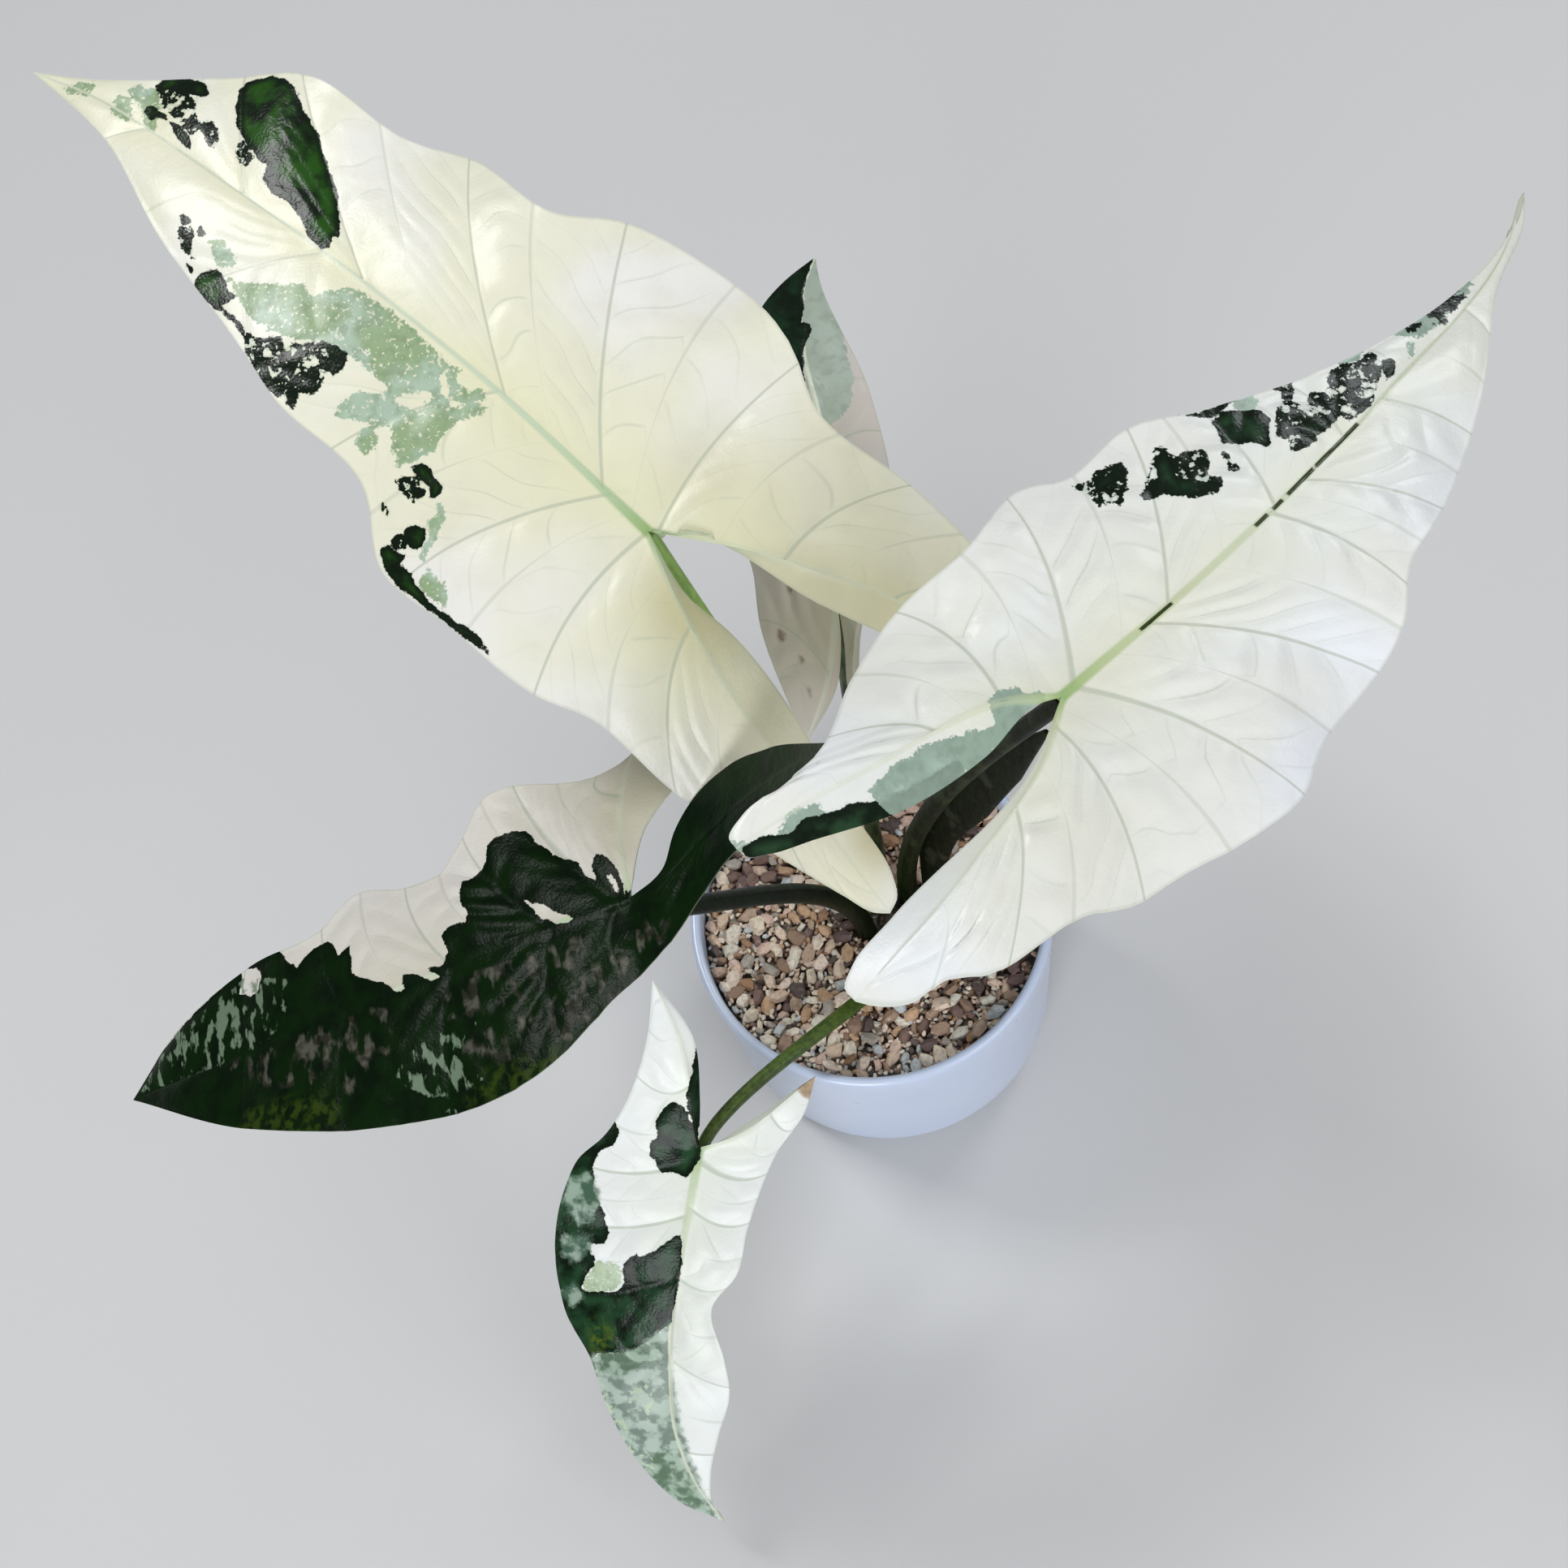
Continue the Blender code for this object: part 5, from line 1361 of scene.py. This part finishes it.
@dataclass
class Gravel:
    """The gravel: a bed painted dark as painted shade beneath the stones, with loose stones of many tones on it."""

    pot: Pot
    stems: list[tuple[float, float, float]]
    finish: StoneFinish = StoneFinish()
    bed_level: float = 80.5
    lower_level: float = 81.2
    upper_level: float = 84.0
    clearance: float = 0.3
    sizes: tuple[float, float] = (0.75, 3.0)
    kinds: int = 9
    seed: int = 23
    tries: int = 15000
    mixing: float = 9.0

    def master(self, number: int, draw: np.random.Generator) -> bpy.types.Object:
        """Model one stone of unit radius: a rounded block with knocked corners."""
        bpy.ops.mesh.primitive_cube_add(size=1.4)
        stone = Bench.added(f"stone_{number}")
        bpy.ops.object.mode_set(mode="EDIT")
        bpy.ops.mesh.select_all(action="SELECT")
        bpy.ops.mesh.subdivide(number_cuts=1, smoothness=0.75)
        bpy.ops.object.mode_set(mode="OBJECT")
        points = np.array([v.co[:] for v in stone.data.vertices])
        points += draw.normal(0, 0.17, points.shape)
        points *= (draw.uniform(1.0, 1.25), draw.uniform(0.65, 0.95), draw.uniform(0.5, 0.8))
        stone.data.vertices.foreach_set("co", points.ravel())
        stone.data.update()
        Bench.smooth(stone, 32.0)
        return stone

    def spots(self, draw: np.random.Generator, level: float, radius: float,
              smallest: float) -> list[tuple[float, ...]]:
        """Return places for one layer of stones, the larger first, none through a stem.

        Args:
            draw: The seeded source of random numbers.
            level: The layer's height.
            radius: The radius that the stones stay within.
            smallest: The size that every stone is larger than.

        Returns:
            The x, y, z and size of each stone.
        """
        low, high = self.sizes
        wanted = low + (high - low) * np.linspace(1, 0, self.tries) ** self.mixing
        found: list[tuple[float, ...]] = []
        kept = np.zeros((0, 3))
        for size in wanted[wanted > smallest]:
            x, y = draw.uniform(-radius, radius, 2)
            if math.hypot(x, y) > radius - 0.8 * size:
                continue
            if any(math.hypot(x - sx, y - sy) < sr + 0.95 * size for sx, sy, sr in self.stems):
                continue
            if len(kept) and (np.hypot(kept[:, 0] - x, kept[:, 1] - y) < 0.76 * (kept[:, 2] + size)).any():
                continue
            kept = np.vstack([kept, (x, y, size)])
            found.append((x, y, level + draw.uniform(-0.9, 0.9), size))
        return found

    def build(self) -> list[bpy.types.Object]:
        """Build the bed and the stones, dress them and let them stand for their solid."""
        draw = np.random.default_rng(self.seed)
        pot = self.pot
        gap = pot.wall + self.clearance
        profile = [(0.0, pot.floor + self.clearance)]
        profile += pot.arc(pot.side_radius - gap, pot.floor + self.clearance, pot.corner - gap)
        profile += [(pot.radius_at(self.bed_level) - gap, self.bed_level), (0.0, self.bed_level)]
        angles = np.linspace(0, math.tau, 65)
        net = np.array([[(r * math.cos(t), r * math.sin(t), h) for t in angles] for r, h in profile])
        bed = Bench.sheet("gravel_bed_fill", net)
        Bench.merge(bed)
        Bench.recalculate(bed)
        Bench.note(bed, "tone", np.full(len(bed.data.vertices), 0.4))
        # the bed gets full painted shade, the dark beneath the stones
        Bench.note(bed, "painted_shade", np.ones(len(bed.data.vertices)))
        material = self.finish.dress()
        bed.data.materials.append(material)
        masters = [self.master(k, draw) for k in range(self.kinds)]
        radius = pot.radius_at(self.upper_level) - gap
        # the lower layer's stones get painted shade at 0.6
        layers = [(self.lower_level, 0.6, 1.5), (self.upper_level, 0.0, 0.0)]
        stones = []
        for level, painted_shade, smallest in layers:
            for x, y, z, size in self.spots(draw, level, radius, smallest):
                mesh = masters[int(draw.integers(self.kinds))].data.copy()
                turn = Matrix.Rotation(draw.uniform(0, math.tau), 4, "Z")
                lean = Matrix.Rotation(draw.normal(0, 0.6), 4, "X")
                mesh.transform(Matrix.Translation(Vector((x, y, z)) * MM) @ turn @ lean @ Matrix.Scale(size * MM, 4))
                stone = bpy.data.objects.new("stone", mesh)
                bpy.context.collection.objects.link(stone)
                lean_dark = 1.5 + 0.012 * (x + y) + draw.normal(0, 0.2)
                tone = 0.999 * draw.random() ** (1 / max(lean_dark, 0.4))
                Bench.note(stone, "tone", np.full(len(mesh.vertices), tone))
                # painted shadow on the stones in a ring round the crown
                shaded = 0.9 * math.exp(-((math.hypot(x - 7, y + 2) - 6) / 11) ** 2)
                Bench.note(stone, "painted_shade", np.full(len(mesh.vertices), max(painted_shade, shaded)))
                stones.append(stone)
        heap = Bench.join(stones, "gravel_stones")
        for master in masters:
            bpy.data.objects.remove(master, do_unlink=True)
        heap.data.materials.clear()
        heap.data.materials.append(material)
        LOG.info("%d stones", len(stones))
        Bench.deliver(bed, Slot.GRAVEL, "gravel_bed")
        Bench.deliver(heap, Slot.GRAVEL, "gravel_bed")
        return [bed, heap]


@dataclass
class Corm:
    """The short old stem among the stalks."""

    finish: BarkFinish = BarkFinish()
    centre: tuple[float, float] = (7.0, -2.0)
    radius: float = 5.5
    foot: float = 60.0
    top: float = 90.0
    ring_pitch: float = 2.6
    sides: int = 48

    def build(self) -> bpy.types.Object:
        """Build the stem with its ring scars, dress it and let it stand for its solid."""
        heights = np.linspace(self.foot, self.top, 61)
        share = (heights - self.foot) / (self.top - self.foot)
        shoulder = np.sqrt(np.clip(1 - np.clip((share - 0.72) / 0.28, 0, 1) ** 2, 0.0, 1))
        rings = self.radius * (0.93 + 0.07 * np.abs(np.sin(math.pi * heights / self.ring_pitch))) * shoulder
        turns = np.linspace(0, math.tau, self.sides, endpoint=False)
        net = []
        for radius, height in zip(np.maximum(rings, 0.2), heights):
            reach = radius * (1 + 0.04 * np.sin(7 * turns + height))
            net.append(np.stack([self.centre[0] + reach * np.cos(turns), self.centre[1] + reach * np.sin(turns),
                                 np.full(self.sides, height)], axis=-1))
        corm = Bench.tube("old_stem", np.array(net))
        Bench.smooth(corm, 50.0)
        corm.data.materials.append(self.finish.dress())
        Bench.deliver(corm, Slot.BARK, "corm")
        return corm


@dataclass
class Studio:
    """The pale floor, the soft lights and the camera."""

    camera_place: Point = (0.0, -319.6, 933.3)
    camera_target: Point = (-17.4, 28.2, 150.0)
    camera_roll: float = -16.75
    lens: float = 59.89
    floor_size: float = 6000.0

    def floor(self) -> None:
        """Lay the floor."""
        bpy.ops.mesh.primitive_plane_add(size=self.floor_size * MM)
        floor = Bench.added("studio_floor")
        paint = Paint("pale_floor")
        colour = paint.mix(paint.noise(400.0, 2.0), (0.60, 0.60, 0.60), (0.64, 0.64, 0.64))
        floor.data.materials.append(paint.finish(Base_Color=colour, Roughness=0.8))

    def light(self, name: str, place: Point, target: Point, size: float, power: float,
              tint: Colour = (1.0, 1.0, 1.0)) -> None:
        """Hang one square soft light."""
        bpy.ops.object.light_add(type="AREA", location=Vector(place) * MM)
        lamp = Bench.added(name)
        lamp.data.shape = "SQUARE"
        lamp.data.size = size * MM
        lamp.data.energy = power
        lamp.data.color = tint
        lamp.rotation_euler = (Vector(target) - Vector(place)).to_track_quat("-Z", "Y").to_euler()

    def air(self) -> None:
        """Surround the set with soft light, brighter overhead than at the horizon."""
        world = bpy.data.worlds.new("studio_air")
        world.use_nodes = True
        tree = world.node_tree
        rise = tree.nodes.new("ShaderNodeSeparateXYZ")
        tree.links.new(tree.nodes.new("ShaderNodeTexCoord").outputs["Generated"], rise.inputs[0])
        band = tree.nodes.new("ShaderNodeValToRGB")
        band.color_ramp.elements[0].position = 0.25
        band.color_ramp.elements[0].color = (0.11, 0.11, 0.12, 1.0)
        band.color_ramp.elements[1].position = 0.95
        band.color_ramp.elements[1].color = (0.37, 0.385, 0.40, 1.0)
        tree.links.new(rise.outputs["Z"], band.inputs[0])
        tree.links.new(band.outputs[0], tree.nodes["Background"].inputs["Color"])
        bpy.context.scene.world = world

    def build(self) -> None:
        """Set up the floor, the lights, the surroundings and the camera."""
        self.floor()
        self.light("key_light", (-760, 700, 1560), (0, 0, 150), 460, 12.0)
        self.light("right_light", (900, 760, 1050), (60, 0, 200), 400, 4.2, (0.93, 0.96, 1.0))
        self.light("front_light", (-560, -1300, 700), (-60, -60, 100), 600, 11.0, (0.94, 0.96, 1.0))
        self.light("low_right_light", (800, -1050, 900), (0, 0, 150), 900, 7.5, (1.0, 0.99, 0.98))
        self.air()
        bpy.context.scene.view_settings.view_transform = "Standard"
        forward = (Vector(self.camera_target) - Vector(self.camera_place)).normalized()
        level = forward.cross(Vector((0, 0, 1))).normalized()
        rise = level.cross(forward)
        turn = math.radians(self.camera_roll)
        right = math.cos(turn) * level + math.sin(turn) * rise
        up = right.cross(forward)
        bpy.ops.object.camera_add()
        camera = Bench.added("photo_camera")
        camera.data.lens = self.lens
        camera.data.sensor_width = 36.0
        pose = Matrix((right, up, -forward)).transposed().to_4x4()
        pose.translation = Vector(self.camera_place) * MM
        camera.matrix_world = pose
        bpy.context.scene.camera = camera


BLADES = [
    Blade(UPPER_LEFT, LeafFinish("ivory_leaf_upper_left", pale=(0.82, 0.81, 0.67), ivory=(0.77, 0.76, 0.50)),
          Slot.PALE_LEAF, UPPER_LEFT_COATS,
          # the warm patches are partly painted shade and painted light shining through each leaf
          tints_and_painted_shades=[TintAndPaintedShade(-62, 24, 26, 0.34), TintAndPaintedShade(-22, 7, 16, 0.6), TintAndPaintedShade(-86, 23, 9, 0.7),
                   TintAndPaintedShade(-72, -20, 30, 0.5), TintAndPaintedShade(-104, -26, 26, 0.9), TintAndPaintedShade(-44, -10, 20, 0.5),
                   TintAndPaintedShade(-30, -30, 34, 0.22), TintAndPaintedShade(-4, -22, 16, 0.26), TintAndPaintedShade(40, 25, 40, 0.08)],
          fold=0.5),
    Blade(RIGHT, LeafFinish("ivory_leaf_right", pale=(0.82, 0.83, 0.80), cool=(0.84, 0.87, 0.94),
                            ivory=(0.78, 0.79, 0.64),
                            sage=(0.30, 0.40, 0.32), sage_pale=(0.42, 0.55, 0.46), sage_flecks=-0.1,
                            dark_light=(0.018, 0.052, 0.022), rib=(0.50, 0.58, 0.28)),
          Slot.PALE_LEAF, RIGHT_COATS,
          tints_and_painted_shades=[TintAndPaintedShade(0, 0, 18, 0.18), TintAndPaintedShade(-30, -25, 24, 0.12)],
          dashes=[(26, 37), (68, 73), (75, 79), (81, 92), (93, 112)], fold=1.3, seed=8.1),
    Blade(BACK, LeafFinish("grey_leaf_back", pale=(0.66, 0.61, 0.60), cool=(0.70, 0.65, 0.64),
                           ivory=(0.56, 0.52, 0.43), sage=(0.38, 0.45, 0.37), sage_pale=(0.44, 0.51, 0.44),
                           sage_flecks=-0.1, dark_light=(0.008, 0.030, 0.012)),
          Slot.PALE_LEAF, BACK_COATS, tints_and_painted_shades=[TintAndPaintedShade(-10, 10, 30, 0.3)], columns=28, mesh_step=1.5,
          seed=15.3),
    Blade(LOWER_LEFT, LeafFinish("dark_leaf_lower_left", pale=(0.84, 0.81, 0.77), cool=(0.88, 0.86, 0.86),
                                 ivory=(0.55, 0.52, 0.40), dark_light=(0.004, 0.016, 0.003),
                                 silver=(0.030, 0.029, 0.021), silver_pale=(0.11, 0.108, 0.085),
                                 silver_from=0.51, sage_pale=(0.17, 0.24, 0.16), streak=(1.0, 0.4, 0.4),
                                 fringe=0.12, dark_sheen=0.2, gloss=0.05), Slot.DARK_LEAF,
          LOWER_LEFT_COATS, tints_and_painted_shades=[TintAndPaintedShade(-14, -34, 22, 0.5), TintAndPaintedShade(20, -36, 30, 0.16)], columns=38,
          lobe_quilt=0.45, fold=0.7, seed=21.9),
    # the front leaf's silver tones are partly painted reflection, grey-blue highlights on glossy pillows
    Blade(FRONT, LeafFinish("white_leaf_front", pale=(0.84, 0.86, 0.87), cool=(0.86, 0.88, 0.93),
                            ivory=(0.78, 0.82, 0.70), dark_light=(0.016, 0.055, 0.022),
                            rib=(0.62, 0.70, 0.50), sage=(0.42, 0.53, 0.32), sage_pale=(0.50, 0.61, 0.43),
                            silver=(0.07, 0.14, 0.09), silver_pale=(0.36, 0.47, 0.38),
                            silver_from=-0.2, gloss=0.14, glow=0.9),
          Slot.PALE_LEAF, FRONT_COATS, columns=36, mesh_step=1.2, quilt=0.04, fold=0.45, seed=30.2),
]
STALK_FINISHES = [
    # the upper-left stalk's greens are painted bright to stand in for light shining through the stalk under its blade
    (StalkFinish("bright_green_stalk", (0.36, 0.60, 0.13), (0.24, 0.44, 0.08), (0.12, 0.23, 0.04), 0.3),
     Slot.GREEN_STALK),
    (StalkFinish("dark_stalk_right", (0.006, 0.013, 0.002), (0.003, 0.005, 0.001), (0.03, 0.045, 0.012),
                 sheen=0.34, gloss=0.06),
     Slot.DARK_STALK),
    (StalkFinish("dark_stalk_back", (0.05, 0.07, 0.02), (0.012, 0.018, 0.006), (0.01, 0.012, 0.005)),
     Slot.DARK_STALK),
    (StalkFinish("dark_stalk_lower_left", (0.004, 0.009, 0.002), (0.002, 0.004, 0.001), (0.010, 0.018, 0.005),
                 gloss=0.06),
     Slot.DARK_STALK),
    (StalkFinish("olive_stalk_front", (0.075, 0.13, 0.014), (0.04, 0.075, 0.008), (0.13, 0.18, 0.03)),
     Slot.GREEN_STALK),
]


def main() -> None:
    """Build the sub-assemblies in order and report each piece."""
    logging.basicConfig(level=logging.INFO, format="%(message)s")
    pot = Pot()
    pot.build()
    stalks = [Stalk(blade, finish, slot) for blade, (finish, slot) in zip(BLADES, STALK_FINISHES)]
    stems = [(7.0, -2.0, 5.5), (23.0, -3.5, 3.6)]
    for stalk in stalks:
        turn = math.radians(stalk.blade.plan.root_angle)
        place = (stalk.crown[0] + stalk.ring * math.cos(turn), stalk.crown[1] + stalk.ring * math.sin(turn))
        stems.append((*place, stalk.blade.plan.stalk_radii[0]))
    Gravel(pot, stems).build()
    Corm().build()
    Sheath(StalkFinish("dark_sheath", (0.006, 0.010, 0.003), (0.003, 0.004, 0.001), (0.05, 0.055, 0.035), 0.4,
                       sheen=0.38, gloss=0.06)).build()
    for stalk in stalks:
        stalk.build()
        stalk.blade.build()
    Studio().build()
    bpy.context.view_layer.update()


if __name__ == "__main__":
    main()
